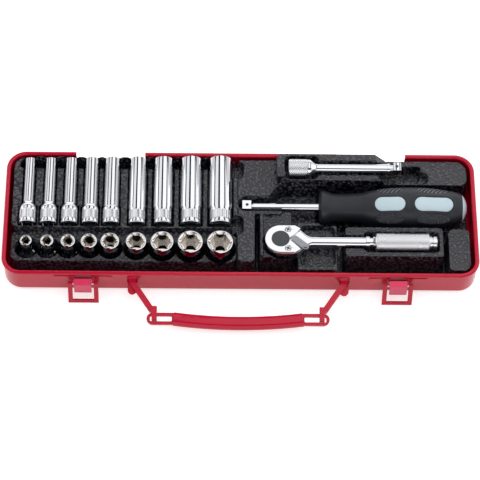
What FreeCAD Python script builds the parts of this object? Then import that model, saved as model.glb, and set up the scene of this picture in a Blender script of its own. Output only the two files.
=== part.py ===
import FreeCAD, Part
import math
import os
import re
from types import SimpleNamespace

import Sketcher
from FreeCAD import Placement, Rotation, Vector

# Socket wrench set in a pressed-steel case: quarter-inch square drive, nine deep and nine standard sockets,
# an extension bar, a spinner handle and a reversible ratchet, lying in a thermoformed tray.
# Frame: +X along the case, +Y to its hinge side, +Z up, origin at the middle of the case's underside.
# Millimetres and degrees.

DIMENSIONS = (
    # drawn steel pan
    ("case_width", 312.0),
    ("case_depth", 94.0),
    ("case_height", 24.0),
    ("pan_sheet", 1.0),
    ("bead_radius", 1.5),
    ("pan_corner_radius", 13.0),
    ("pan_bottom_radius", 4.5),
    ("notch_inset", 69.0),
    ("notch_width", 46.0),
    ("notch_floor", 12.0),
    # carrying handle
    ("handle_offset", -1.5),
    ("slot_centre", 69.2),
    ("slot_width", 6.8),
    ("slot_floor", 11.4),
    ("slot_height", 9.0),
    ("tab_length", 8.2),
    ("handle_droop", 12.0),
    ("link_width", 4.7),
    ("link_thickness", 2.4),
    ("link_head_length", 11.0),
    ("handle_reach", 28.0),
    ("grip_length", 119.0),
    ("grip_tube_length", 84.0),
    ("grip_depth", 9.0),
    ("grip_height", 7.4),
    ("grip_bow", 2.7),
    ("grip_sheet", 1.0),
    ("loop_strip", 2.2),
    ("loop_depth", 8.0),
    # draw latches
    ("latch_inset", 53.4),
    ("strap_width", 38.0),
    ("strap_height", 6.0),
    ("latch_sheet", 1.0),
    ("ear_thickness", 0.8),
    ("lever_width", 11.4),
    ("lever_reach", 4.7),
    ("lever_drop", 9.2),
    ("lever_pivot_standoff", 2.8),
    ("lever_pivot_height", 18.4),
    ("latch_pin_diameter", 1.5),
    ("bail_pivot_standoff", 3.7),
    ("bail_pivot_height", 16.2),
    ("bail_width", 19.8),
    ("bail_leg", 3.0),
    ("bail_bar", 2.8),
    ("bail_length", 17.0),
    ("bail_sheet", 1.2),
    # fits
    ("running_gap", 0.05),
    ("seat_gap", 0.3),
    ("side_gap", 0.4),
    # square drive
    ("drive_square", 6.35),
    ("drive_socket_square", 6.5),
    ("drive_socket_depth", 9.0),
    ("detent_ball_diameter", 2.4),
    # sockets
    ("hex_1", 5.0),
    ("hex_2", 5.5),
    ("hex_3", 6.0),
    ("hex_4", 7.0),
    ("hex_5", 8.0),
    ("hex_6", 9.0),
    ("hex_7", 10.0),
    ("hex_8", 11.0),
    ("hex_9", 12.0),
    ("short_diameter_1", 7.8),
    ("short_diameter_2", 8.6),
    ("short_diameter_3", 9.5),
    ("short_diameter_4", 10.7),
    ("short_diameter_5", 12.2),
    ("short_diameter_6", 13.4),
    ("short_diameter_7", 15.0),
    ("short_diameter_8", 16.4),
    ("short_diameter_9", 17.0),
    ("deep_diameter_1", 7.6),
    ("deep_diameter_2", 8.1),
    ("deep_diameter_3", 8.8),
    ("deep_diameter_4", 9.9),
    ("deep_diameter_5", 11.0),
    ("deep_diameter_6", 12.2),
    ("deep_diameter_7", 13.6),
    ("deep_diameter_8", 15.0),
    ("deep_diameter_9", 16.2),
    ("drive_end_diameter", 11.7),
    ("drive_end_relief", 1.2),
    ("flare_slope", 2.5),
    ("edge_break", 0.4),
    ("through_bore", 4.6),
    ("short_length", 25.0),
    ("short_band", 10.0),
    ("short_hex_depth", 11.0),
    ("deep_length", 50.0),
    ("deep_band", 11.4),
    ("deep_hex_depth", 20.0),
    ("first_socket_x", -140.3),
    ("small_socket_gap", 2.0),
    ("large_socket_gap", 2.75),
    ("trench_divider", 1.55),
    ("short_row_y", -24.0),
    ("deep_row_y", -9.4),
    ("deep_axis_height", 22.5),
    # extension bar
    ("bar_length", 75.0),
    ("bar_head_diameter", 12.1),
    ("bar_head_length", 15.0),
    ("bar_taper", 4.5),
    ("bar_diameter", 5.9),
    ("bar_tip_length", 7.2),
    ("bar_waist", 4.6),
    ("bar_neck", 2.0),
    ("bar_ball_lead", 0.6),
    ("bar_x", 31.6),
    ("bar_inset", 9.8),
    ("bar_height", 28.0),
    # spinner handle
    ("spinner_length", 149.6),
    ("spinner_tip", 6.6),
    ("spinner_shaft_diameter", 5.9),
    ("spinner_grip_start", 51.2),
    ("spinner_nose_radius", 9.8),
    ("spinner_belly_radius", 13.8),
    ("spinner_tail_radius", 9.3),
    ("spinner_cap", 3.6),
    ("spinner_core_diameter", 13.0),
    ("spinner_shaft_embed", 60.0),
    ("inlay_width", 9.8),
    ("inlay_sink", 0.25),
    ("inlay_tilt", 17.0),
    ("inlay_start_1", 87.6),
    ("inlay_end_1", 107.8),
    ("inlay_start_2", 113.8),
    ("inlay_end_2", 139.6),
    ("spinner_x", 0.6),
    ("spinner_y", 8.3),
    ("spinner_height", 17.8),
    # ratchet
    ("ratchet_x", 26.0),
    ("ratchet_y", -20.4),
    ("ratchet_height", 22.0),
    ("head_radius", 10.1),
    ("head_straight", 9.5),
    ("head_taper", 11.0),
    ("head_below", 6.5),
    ("head_above", 2.6),
    ("cover_thickness", 1.4),
    ("neck_width", 7.0),
    ("neck_length", 56.4),
    ("sleeve_start", 62.3),
    ("sleeve_length", 35.6),
    ("sleeve_diameter", 12.2),
    ("sleeve_tail_diameter", 8.8),
    ("sleeve_tail_length", 5.0),
    ("core_diameter", 6.2),
    ("gear_tip_radius", 6.6),
    ("gear_root_radius", 6.0),
    ("gear_floor", -4.8),
    ("gear_bore_radius", 5.0),
    ("disc_radius", 5.7),
    ("drive_length", 8.4),
    ("lever_shaft_x", 9.3),
    ("lever_shaft_radius", 1.7),
    ("reverse_lever_length", 9.0),
    ("reverse_lever_width", 4.6),
    ("reverse_lever_thickness", 1.6),
    ("reverse_lever_angle", 40.0),
    ("cover_notch_angle", 46.0),
    ("cover_notch_lead", 3.6),
    ("cover_screw_x", 4.9),
    ("cover_screw_y", 7.1),
    ("cover_screw_head", 4.2),
    ("cover_screw_shank", 1.8),
    ("pawl_floor_gap", 0.2),
    ("pawl_height", 5.2),
    ("pawl_back_radius", 8.9),
    ("pawl_half_angle", 30.0),
    # thermoformed tray
    ("tray_wall", 1.2),
    ("tray_clearance", 2.5),
    ("tray_lift", 0.2),
    ("deep_deck", 23.8),
    ("short_deck", 18.5),
    ("plateau", 22.5),
    ("boss_top", 31.0),
    ("platform", 20.5),
    ("shelf_top", 20.0),
    ("shelf_recess", 5.0),
    ("grip_block_top", 22.6),
    ("side_plateau", 21.0),
    ("side_width", 15.6),
    ("pocket_gap", 0.9),
    ("hole_gap", 1.4),
    ("well_floor", 8.0),
    ("tray_rim", 2.4),
    ("tray_groove", 2.2),
    ("tray_gap", 4.0),
    ("shelf_width", 27.0),
    ("finger_width", 13.0),
)

SHEET = "Dimensions"
SOCKET_NAMES = ("05_0", "05_5", "06_0", "07_0", "08_0", "09_0", "10_0", "11_0", "12_0")
SMALL_SOCKETS = 5
GEAR_TEETH = 36
X_AXIS = Vector(1, 0, 0)
Y_AXIS = Vector(0, 1, 0)
Z_AXIS = Vector(0, 0, 1)

doc = FreeCAD.newDocument("socket_set")


def make_sheet():
    """The spreadsheet of driving dimensions, and the same numbers by name."""
    sheet = doc.addObject("Spreadsheet::Sheet", SHEET)
    for row, (alias, value) in enumerate(DIMENSIONS, 1):
        sheet.set("A%d" % row, alias)
        sheet.set("B%d" % row, str(value))
        sheet.setAlias("B%d" % row, alias)
    doc.recompute()
    return SimpleNamespace(**{alias: float(sheet.get(alias)) for alias, _ in DIMENSIONS})


d = make_sheet()


def cells(text):
    """Expression text whose aliases point at the sheet's cells."""
    names = {alias for alias, _ in DIMENSIONS}
    return re.sub(r"[a-z_]+[a-z0-9_]*", lambda m: SHEET + "." + m[0] if m[0] in names else m[0], text)


# Bodies driven by expressions


def turned(label, stations, axis=Z_AXIS, place=Vector()):
    """A lathe-turned body: (radius, height) expressions revolved about its own Z axis, laid along an axis."""
    body = doc.addObject("PartDesign::Body", label)
    plane = [feature for feature in body.Origin.OriginFeatures if feature.Role == "XZ_Plane"][0]
    sketch = body.newObject("Sketcher::SketchObject", label + "_profile")
    sketch.AttachmentSupport = [(plane, "")]
    sketch.MapMode = "FlatFace"
    count = len(stations)
    start = [Vector(1 + i, 1 + (i * i) % 7, 0) for i in range(count)]
    for i in range(count):
        sketch.addGeometry(Part.LineSegment(start[i], start[(i + 1) % count]), False)
    for i in range(count):
        sketch.addConstraint(Sketcher.Constraint("Coincident", i, 2, (i + 1) % count, 1))
    for i, station in enumerate(stations):
        for kind, value, text in zip(("DistanceX", "DistanceY"), start[i], station):
            index = sketch.addConstraint(Sketcher.Constraint(kind, -1, 1, i, 1, value))
            sketch.setExpression("Constraints[%d]" % index, cells(text))
    revolution = body.newObject("PartDesign::Revolution", label + "_turning")
    revolution.Profile = sketch
    revolution.ReferenceAxis = (sketch, ["V_Axis"])
    revolution.Angle = 360
    body.Placement = Placement(place, Rotation(Z_AXIS, axis))
    return body


def add_feature(body, kind, name, **expressions):
    """A PartDesign primitive in a body, with its properties and its place bound to the sheet."""
    feature = body.newObject("PartDesign::" + kind, body.Name + "_" + name)
    for key, text in expressions.items():
        path = "Placement.Base." + key if key in ("x", "y", "z") else key
        feature.setExpression(path, cells(text))
    return feature


def add_square(body, kind, name, side, height, base):
    """A square prism about the body's axis, added or cut away."""
    half = "-(" + side + ") / 2"
    add_feature(body, kind + "Box", name, Length=side, Width=side, Height=height, x=half, y=half, z=base)


def cut_cross_bore(body, name, radius, depth, height, reach):
    """A blind round hole into a body's side, along its own X axis, for a detent ball."""
    bore = add_feature(body, "SubtractiveCylinder", name, Radius=radius, Height=depth, x=reach, z=height)
    bore.Placement = Placement(bore.Placement.Base, Rotation(Y_AXIS, -90))


# Shapes from plain geometry


def box(low, high):
    """A box between two corners."""
    size = Vector(*high) - Vector(*low)
    return Part.makeBox(size.x, size.y, size.z, Vector(*low))


def outline_prism(points, low, high):
    """A prism over a closed plan outline, given as corners, between two heights."""
    wire = Part.makePolygon([Vector(x, y, low) for x, y in points + points[:1]])
    return Part.Face(wire).extrude(Vector(0, 0, high - low))


def rounded_outline(x0, y0, x1, y1, radius, height):
    """A closed wire round a rectangle with round corners."""
    r = min(radius, 0.499 * (x1 - x0), 0.499 * (y1 - y0))
    corners = ((x1 - r, y0 + r, -90), (x1 - r, y1 - r, 0), (x0 + r, y1 - r, 90), (x0 + r, y0 + r, 180))
    arcs = []
    for x, y, start in corners:
        circle = Part.Circle(Vector(x, y, height), Z_AXIS, r)
        arcs.append(Part.Arc(circle, math.radians(start), math.radians(start + 90)).toShape())
    edges = []
    for arc, following in zip(arcs, arcs[1:] + arcs[:1]):
        edges.append(arc)
        edges.append(Part.makeLine(arc.Vertexes[-1].Point, following.Vertexes[0].Point))
    return Part.Wire(edges)


def rounded_prism(x0, y0, x1, y1, radius, low, high):
    """A prism over a rectangle with round corners, between two heights."""
    return Part.Face(rounded_outline(x0, y0, x1, y1, radius, low)).extrude(Vector(0, 0, high - low))


def rod(radius, start, end):
    """A round rod between two points."""
    start = Vector(*start)
    along = Vector(*end) - start
    return Part.makeCylinder(radius, along.Length, start, along)


def fused(shapes):
    """One solid from shapes that overlap, without leftover seams."""
    return shapes[0].multiFuse(shapes[1:]).removeSplitter()


def feature(label, shape, placement=Placement()):
    """A document object that holds a shape, at its placement."""
    thing = doc.addObject("Part::Feature", label)
    thing.Shape = shape
    thing.Placement = placement
    return thing


# Case pan


wall_x = d.case_width / 2 - d.bead_radius + d.pan_sheet / 2
wall_y = d.case_depth / 2 - d.bead_radius + d.pan_sheet / 2
bead_height = d.case_height - d.bead_radius
pan_corner = d.pan_corner_radius - d.bead_radius + d.pan_sheet / 2


def pan_form(inset, floor):
    """The drawn form of the pan, inside by an inset, with its bottom edge rounded."""
    top = bead_height
    form = rounded_prism(-wall_x + inset, -wall_y + inset, wall_x - inset, wall_y - inset,
                         pan_corner - inset, floor, top)
    bottom = [edge for edge in form.Edges if edge.BoundBox.ZMax < floor + 0.01]
    return form.makeFillet(d.pan_bottom_radius - inset, bottom)


def handle_tab(x):
    """A tab lanced out of the front wall below a handle slot, sloping as the handle does."""
    half = (d.slot_width - 2 * d.side_gap) / 2
    root = -d.pan_sheet
    straight = box((-half, -d.tab_length + half, -d.pan_sheet), (half, -root, 0))
    end = rod(half, (0, -d.tab_length + half, -d.pan_sheet), (0, -d.tab_length + half, 0))
    tab = fused([straight, end])
    tab.rotate(Vector(), X_AXIS, d.handle_droop)
    tab.translate(Vector(x, -wall_y, d.slot_floor))
    inside = box((x - d.slot_width, -wall_y + d.pan_sheet, 0), (x + d.slot_width, 0, d.case_height))
    return tab.cut(inside)


def case_pan():
    """Drawn pan with a rolled rim, hinge notches in the back wall and lanced slots for the handle."""
    shell = pan_form(0, 0).cut(pan_form(d.pan_sheet, d.pan_sheet))
    middle = d.pan_sheet / 2
    path = rounded_outline(-wall_x + middle, -wall_y + middle, wall_x - middle, wall_y - middle,
                           pan_corner - middle, bead_height)
    start = path.Edges[0].Vertexes[0].Point
    heading = path.Edges[0].tangentAt(path.Edges[0].FirstParameter)
    ring = Part.Wire(Part.makeCircle(d.bead_radius, start, heading))
    bead = path.makePipeShell([ring], True, False)
    pan = fused([shell, bead])
    top = d.case_height + 1
    for side in (-1, 1):
        centre = side * (d.case_width / 2 - d.notch_inset)
        notch = box((centre - d.notch_width / 2, wall_y - 2 * d.bead_radius - 1, d.notch_floor),
                    (centre + d.notch_width / 2, d.case_depth, top))
        pan = pan.cut(notch)
        x = d.handle_offset + side * d.slot_centre
        slot = box((x - d.slot_width / 2, -wall_y - 1, d.slot_floor),
                   (x + d.slot_width / 2, -wall_y + d.pan_sheet + 1, d.slot_floor + d.slot_height))
        pan = fused([pan.cut(slot), handle_tab(x)])
    return feature("case_pan", pan)


# Carrying handle, drawn flat in its own plane: X along the case, -Y outwards, origin on the pivot line


pivot_radius = d.link_thickness / 2
pivot_y = -wall_y + d.pan_sheet + pivot_radius + d.side_gap
tab_drop = (wall_y + pivot_y) * math.tan(math.radians(d.handle_droop))
pivot_z = d.slot_floor + tab_drop + (pivot_radius + d.running_gap) / math.cos(math.radians(d.handle_droop))
handle_place = Placement(Vector(d.handle_offset, pivot_y, pivot_z), Rotation(X_AXIS, d.handle_droop))
loop_inside = d.loop_depth / 2 - d.loop_strip
loop_corner = loop_inside / 2
hook_sheet = d.loop_strip * 0.75
hook_half = d.link_width * 0.36
hook_x = d.grip_length / 2 - d.loop_strip - loop_corner - hook_half - d.side_gap / 2


def handle_link(side, label):
    """A splayed strip with a cross head behind the wall and a hook through the grip's end loop."""
    half = d.link_thickness / 2
    root = 2 * (d.pan_sheet + d.side_gap) + d.side_gap
    strip_end = d.handle_reach - d.loop_depth / 2 - d.side_gap
    x = d.slot_centre
    end_x = hook_x + hook_half / 2
    wide = d.link_width / 2
    head = rod(half, (x - d.link_head_length / 2, 0, 0), (x + d.link_head_length / 2, 0, 0))
    strip = outline_prism([(x - wide, 0), (x + wide, 0), (x + wide, -root), (end_x + wide, -strip_end),
                           (end_x - wide, -strip_end), (x - wide, -root)], -half, half)
    over = d.grip_sheet + d.side_gap / 2
    top = over + hook_sheet
    tongue = d.handle_reach + loop_inside - d.side_gap
    inner = d.handle_reach - loop_inside + d.side_gap
    under = d.handle_reach - d.loop_depth / 2
    left = hook_x - hook_half
    right = hook_x + hook_half
    riser = box((left, -strip_end, -half), (end_x + wide, -strip_end + 3 * half, top))
    bridge = box((left, -tongue, over), (right, -strip_end + half, top))
    leg = box((left, -tongue, -top), (right, -inner, top))
    lip = box((left, -tongue, -top), (right, -under, -over))
    link = fused([strip, head, riser, bridge, leg, lip])
    if side < 0:
        link = link.mirror(Vector(), X_AXIS)
    return feature(label, link, handle_place)


def handle_grip():
    """A rolled grip of round-sided section, bowed outwards, with an open loop at each end for the links."""
    half = d.grip_tube_length / 2
    reach = -d.handle_reach
    bend = (half ** 2 + d.grip_bow ** 2) / (2 * d.grip_bow)
    centre = Vector(0, reach - d.grip_bow + bend, 0)
    angle = math.degrees(math.asin(half / bend))
    tube = []
    for inset in (0, d.grip_sheet):
        depth = d.grip_depth / 2 - inset
        height = d.grip_height / 2 - inset
        section = rounded_outline(-depth, -height, depth, height, height, 0)
        section.Placement = Placement(centre - Vector(0, bend, 0), Rotation(Y_AXIS, Z_AXIS, X_AXIS, "ZXY"))
        face = Part.Face(section)
        face.rotate(centre, Z_AXIS, -angle)
        tube.append(face.revolve(centre, Z_AXIS, 2 * angle))
    grip = [tube[0].cut(tube[1])]
    end = d.grip_length / 2
    for side in (-1, 1):
        inner = half - d.grip_sheet
        mouth = half + d.loop_strip / 2
        low, high = sorted((side * inner, side * end))
        loop = rounded_prism(low, reach - d.loop_depth / 2, high, reach + d.loop_depth / 2, d.loop_depth / 2,
                             -d.grip_sheet, d.grip_sheet)
        root_low, root_high = sorted((side * inner, side * (mouth + d.loop_depth / 2)))
        root = box((root_low, reach - d.loop_depth / 2, -d.grip_sheet),
                   (root_high, reach + d.loop_depth / 2, d.grip_sheet))
        low, high = sorted((side * mouth, side * (end - d.loop_strip)))
        window = rounded_prism(low, reach - loop_inside, high, reach + loop_inside, loop_corner,
                               -d.grip_height, d.grip_height)
        grip.append(loop.fuse(root).cut(window))
    return feature("handle_grip", fused(grip), handle_place)


# Draw latches, drawn about the latch's own middle plane


strap_top = bead_height - d.bead_radius - d.seat_gap
lever_pivot = (-wall_y - d.lever_pivot_standoff, d.lever_pivot_height)
bail_pivot = (-wall_y - d.bail_pivot_standoff, d.bail_pivot_height)
pin_radius = d.latch_pin_diameter / 2
ear_inner = d.lever_width / 2 + d.side_gap / 2
ear_outer = ear_inner + d.ear_thickness
ear_radius = d.latch_pin_diameter


def cross_pin(radius, half_width, pivot):
    """A pin along X through a pivot point."""
    return rod(radius, (-half_width, pivot[0], pivot[1]), (half_width, pivot[0], pivot[1]))


def latch_strap(x, label):
    """Mounting strap on the front wall, with two ears bent out of a window in its middle."""
    front = -wall_y - d.latch_sheet
    strap = box((-d.strap_width / 2, front, strap_top - d.strap_height),
                (d.strap_width / 2, -wall_y, strap_top))
    window = box((-ear_inner, front - 1, strap_top - d.strap_height + d.latch_sheet),
                 (ear_inner, 0, strap_top + 1))
    pieces = [strap.cut(window)]
    for side in (-1, 1):
        low, high = sorted((side * ear_inner, side * ear_outer))
        arm = box((low, lever_pivot[0], lever_pivot[1] - ear_radius),
                  (high, -wall_y, lever_pivot[1] + ear_radius))
        eye = rod(ear_radius, (low, lever_pivot[0], lever_pivot[1]), (high, lever_pivot[0], lever_pivot[1]))
        pieces.append(arm.fuse(eye))
    shape = fused(pieces).cut(cross_pin(pin_radius, d.strap_width, lever_pivot))
    return feature(label, shape, Placement(Vector(x, 0, 0), Rotation()))


def latch_lever(x, label):
    """Folded channel lever: top plate, front plate with a turned toe, and two flanges with pivot holes."""
    half = d.lever_width / 2
    sheet = d.latch_sheet
    top = lever_pivot[1] + pin_radius + d.running_gap + d.seat_gap + sheet
    front = lever_pivot[0] - d.lever_reach
    back = lever_pivot[0] + sheet / 4
    plate = box((-half, front, top - sheet), (half, back, top))
    face = box((-half, front, top - d.lever_drop), (half, front + sheet, top))
    toe_y = front + sheet / 2
    toe = rod(sheet * 0.7, (-half, toe_y, top - d.lever_drop), (half, toe_y, top - d.lever_drop))
    pieces = [plate, face, toe]
    bottom = bail_pivot[1] - d.latch_pin_diameter
    for side in (-1, 1):
        low, high = sorted((side * half, side * (half - sheet)))
        cheek = box((low, front, bottom), (high, back, top))
        nose = rod(ear_radius, (low, lever_pivot[0], lever_pivot[1]), (high, lever_pivot[0], lever_pivot[1]))
        pieces.append(cheek.fuse(nose))
    lever = fused(pieces)
    lever = lever.cut(cross_pin(pin_radius + d.running_gap, d.strap_width, lever_pivot))
    lever = lever.cut(cross_pin(pin_radius, d.strap_width, bail_pivot))
    return feature(label, lever, Placement(Vector(x, 0, 0), Rotation()))


def bail_tilt():
    """How far the bail leans out when its bar stands on the table, in degrees."""
    return math.degrees(math.acos((d.bail_pivot_height - d.running_gap) / d.bail_length))


def latch_bail(x, label):
    """Flat bail that hangs from the lever, drawn upright below its pivot and leant out to the table."""
    half = d.bail_width / 2
    inner = half - d.bail_leg
    low = -d.bail_length
    thick = d.bail_sheet / 2
    outer = box((-half, -thick, low + thick), (half, thick, 0))
    window = box((-inner, -1, low + d.bail_bar), (inner, 1, d.bail_length))
    bar = rod(thick, (-half, 0, low + thick), (half, 0, low + thick))
    pieces = [outer.cut(window).fuse(bar)]
    eye = 2 * pin_radius
    for side in (-1, 1):
        start, end = sorted((side * inner, side * half))
        pieces.append(rod(eye, (start, 0, 0), (end, 0, 0)))
    bail = fused(pieces).cut(cross_pin(pin_radius + d.running_gap, d.bail_width, (0, 0)))
    place = Placement(Vector(x, bail_pivot[0], bail_pivot[1]), Rotation(X_AXIS, -bail_tilt()))
    return feature(label, bail, place)


def latches():
    """Both draw latches, with their lever pins in the straps and their bail pins in the levers."""
    nodes = []
    lever_pins = []
    for side, name in ((-1, "left"), (1, "right")):
        x = side * (d.case_width / 2 - d.latch_inset)
        nodes.append(latch_strap(x, "latch_strap_" + name))
        nodes.append(latch_lever(x, "latch_lever_" + name))
        nodes.append(latch_bail(x, "latch_bail_" + name))
        pin = cross_pin(pin_radius, d.bail_width / 2, bail_pivot)
        nodes.append(feature("latch_bail_pin_" + name, pin, Placement(Vector(x, 0, 0), Rotation())))
        lever_pin = cross_pin(pin_radius, ear_outer, lever_pivot)
        lever_pin.translate(Vector(x, 0, 0))
        lever_pins.append(lever_pin)
    nodes.append(feature("latch_lever_pins", Part.makeCompound(lever_pins)))
    return nodes


# Sockets


def drive_end(diameter):
    """Drive-end diameter of a socket, as an expression of its hex-end diameter's alias."""
    return "max(drive_end_diameter; " + diameter + " - drive_end_relief)"


def socket(label, number, kind, axis, place):
    """A chromed socket: drive end, flare, hex end; hex mouth, through bore and square drive hole inside."""
    outside = kind + "_diameter_" + number
    length = kind + "_length"
    band = kind + "_band"
    drive = drive_end(outside) + " / 2"
    nose = outside + " / 2"
    flare = band + " + flare_slope * abs(" + drive + " - " + nose + ") + edge_break"
    body = turned(label, (
        ("0", "0"),
        (drive + " - edge_break", "0"),
        (drive, "edge_break"),
        (drive, band),
        (nose, flare),
        (nose, length + " - edge_break"),
        (nose + " - edge_break", length),
        ("0", length),
    ), axis, place)
    depth = kind + "_hex_depth"
    add_feature(body, "SubtractiveCylinder", "bore", Radius="through_bore / 2", Height=length)
    corner = "hex_" + number + " / sqrt(3)"
    mouth = add_feature(body, "SubtractivePrism", "hex", Circumradius=corner, Height=depth,
                        z=length + " - " + depth)
    mouth.Polygon = 6
    add_square(body, "Subtractive", "drive_hole", "drive_socket_square", "drive_socket_depth", "0")
    return body


def socket_positions():
    """The X position of each socket, from the widths of its neighbours and the gaps between them."""
    widths = []
    for n in range(1, len(SOCKET_NAMES) + 1):
        short = getattr(d, "short_diameter_%d" % n)
        deep = getattr(d, "deep_diameter_%d" % n)
        widths.append(max(short, deep, d.drive_end_diameter))
    places = [d.first_socket_x]
    for i in range(1, len(widths)):
        if i < SMALL_SOCKETS:
            step = d.drive_end_diameter + d.small_socket_gap
        else:
            step = (widths[i - 1] + widths[i]) / 2 + d.large_socket_gap
        if i == SMALL_SOCKETS:
            step += d.trench_divider
        places.append(places[-1] + step)
    return places, widths


socket_x, socket_width = socket_positions()
tray_floor = d.pan_sheet + d.tray_lift + d.tray_wall


def sockets():
    """Both rows of sockets: the standard ones standing mouth up, the deep ones lying mouth to the back."""
    nodes = []
    for i, name in enumerate(SOCKET_NAMES):
        number = str(i + 1)
        nodes.append(socket("deep_socket_" + name, number, "deep", Y_AXIS,
                            Vector(socket_x[i], d.deep_row_y, d.deep_axis_height)))
        nodes.append(socket("socket_" + name, number, "short", Z_AXIS,
                            Vector(socket_x[i], d.short_row_y, tray_floor + d.running_gap)))
    return nodes


# Extension bar and spinner handle


bar_y = wall_y - d.pan_sheet - d.tray_clearance - d.bar_inset
ball_radius = d.detent_ball_diameter / 2
ball_sink = ball_radius * 0.45


def detent_ball(label, centre):
    """A detent ball that stands proud of a drive square's face."""
    return feature(label, Part.makeSphere(ball_radius), Placement(centre, Rotation()))


def extension_bar():
    """Knurled head with a square hole, slim shaft, and a waisted drive square with a detent ball."""
    shaft = "bar_diameter / 2"
    head = "bar_head_diameter / 2"
    tip = "bar_length - bar_tip_length"
    body = turned("extension_bar", (
        ("0", "0"),
        (head + " - edge_break", "0"),
        (head, "edge_break"),
        (head, "bar_head_length"),
        (shaft, "bar_head_length + bar_taper"),
        (shaft, tip),
        ("bar_waist / 2", tip + " + edge_break"),
        ("bar_waist / 2", "bar_length - bar_tip_length / 2"),
        ("0", "bar_length - bar_tip_length / 2"),
    ), X_AXIS, Vector(d.bar_x, bar_y, d.bar_height))
    add_square(body, "Additive", "tip", "drive_square", "bar_tip_length - bar_neck", tip + " + bar_neck")
    add_square(body, "Subtractive", "drive_hole", "drive_socket_square", "drive_socket_depth", "0")
    cut_cross_bore(body, "ball_bore", "detent_ball_diameter / 2 + running_gap", "drive_square / 2",
                   "bar_length - bar_tip_length / 2 + bar_ball_lead", "0")
    x = d.bar_x + d.bar_length - d.bar_tip_length / 2 + d.bar_ball_lead
    ball = Vector(x, bar_y, d.bar_height + d.drive_square / 2 - ball_sink)
    return [body, detent_ball("extension_ball", ball)]


def spinner_profile(inset):
    """The spinner's grip as a turned form of arcs: chamfered nose, waist, belly and a rounded tail."""
    start = d.spinner_grip_start
    end = d.spinner_length - d.spinner_cap
    span = end - start
    nose = d.spinner_nose_radius
    belly = d.spinner_belly_radius

    def at(share, radius):
        return Vector(start + share * span, 0, radius - inset)

    chamfer = at(0.018, nose)
    rise = at(0.3, nose + 0.4)
    shoulder = at(0.9, belly - 2.1)
    edges = [
        Part.makeLine(at(0, nose - 1.1), chamfer),
        Part.Arc(chamfer, at(0.16, nose - 0.3), rise).toShape(),
        Part.Arc(rise, at(0.6, belly), shoulder).toShape(),
        Part.Arc(shoulder, at(0.965, belly - 3.2), at(1, d.spinner_tail_radius)).toShape(),
        Part.makeLine(at(1, d.spinner_tail_radius), at(1, inset)),
        Part.makeLine(at(1, inset), at(0, inset)),
        Part.makeLine(at(0, inset), at(0, nose - 1.1)),
    ]
    return Part.Face(Part.Wire(edges)).revolve(Vector(), X_AXIS, 360)


def inlay_prism(start, end, margin):
    """A round-ended prism that stands on the spinner's axis, tilted towards the front."""
    half = d.inlay_width / 2 + margin
    prism = rounded_prism(start - margin, -half, end + margin, half, half, 0, 2 * d.spinner_belly_radius)
    prism.rotate(Vector(), X_AXIS, d.inlay_tilt)
    return prism


def spinner():
    """Steel shaft with a drive square, hard core with two bare pads and the end cap, soft grip round it."""
    place = Vector(d.spinner_x, d.spinner_y, d.spinner_height)
    shaft = turned("spinner_shaft", (
        ("0", "0"),
        ("spinner_shaft_diameter / 2", "0"),
        ("spinner_shaft_diameter / 2", "spinner_grip_start + spinner_shaft_embed"),
        ("0", "spinner_grip_start + spinner_shaft_embed"),
    ), X_AXIS, place)
    add_square(shaft, "Additive", "tip", "drive_square", "spinner_tip", "0")
    ball_x = d.spinner_tip * 0.55
    cut_cross_bore(shaft, "ball_bore", "detent_ball_diameter / 2 + running_gap", "drive_square / 2",
                   "spinner_tip * 0.55", "0")
    ball = detent_ball("spinner_ball", place + Vector(ball_x, 0, d.drive_square / 2 - ball_sink))
    end = d.spinner_length - d.spinner_cap
    form = spinner_profile(0)
    core_radius = d.spinner_core_diameter / 2
    barrel = rod(core_radius, (d.spinner_grip_start + 2 * d.spinner_cap, 0, 0), (end + 0.5, 0, 0))
    dome_radius = (d.spinner_tail_radius ** 2 + d.spinner_cap ** 2) / (2 * d.spinner_cap)
    dome = Part.makeSphere(dome_radius)
    dome.translate(Vector(d.spinner_length - dome_radius, 0, 0))
    cap = dome.common(rod(2 * d.spinner_belly_radius, (end, 0, 0), (d.spinner_length + 1, 0, 0)))
    sunk = spinner_profile(d.inlay_sink)
    pads = []
    windows = []
    for start, stop in ((d.inlay_start_1, d.inlay_end_1), (d.inlay_start_2, d.inlay_end_2)):
        pads.append(inlay_prism(start, stop, 0).common(sunk))
        windows.append(inlay_prism(start, stop, 0))
    bore = rod(d.spinner_shaft_diameter / 2, (0, 0, 0), (d.spinner_grip_start + d.spinner_shaft_embed, 0, 0))
    core = fused([barrel, cap] + pads).cut(bore)
    grip = form.cut(barrel).cut(bore)
    for window in windows:
        grip = grip.cut(window)
    seat = Placement(place, Rotation())
    return [shaft, ball, feature("spinner_core", core, seat), feature("spinner_grip", grip, seat)]


# Ratchet, drawn about its gear: X along the handle, Z up, origin on the handle's axis


ratchet_place = Placement(Vector(d.ratchet_x, d.ratchet_y, d.ratchet_height), Rotation())
cover_top = d.head_above + d.cover_thickness
roof = d.gear_floor + d.pawl_floor_gap + d.pawl_height + d.pawl_floor_gap


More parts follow.
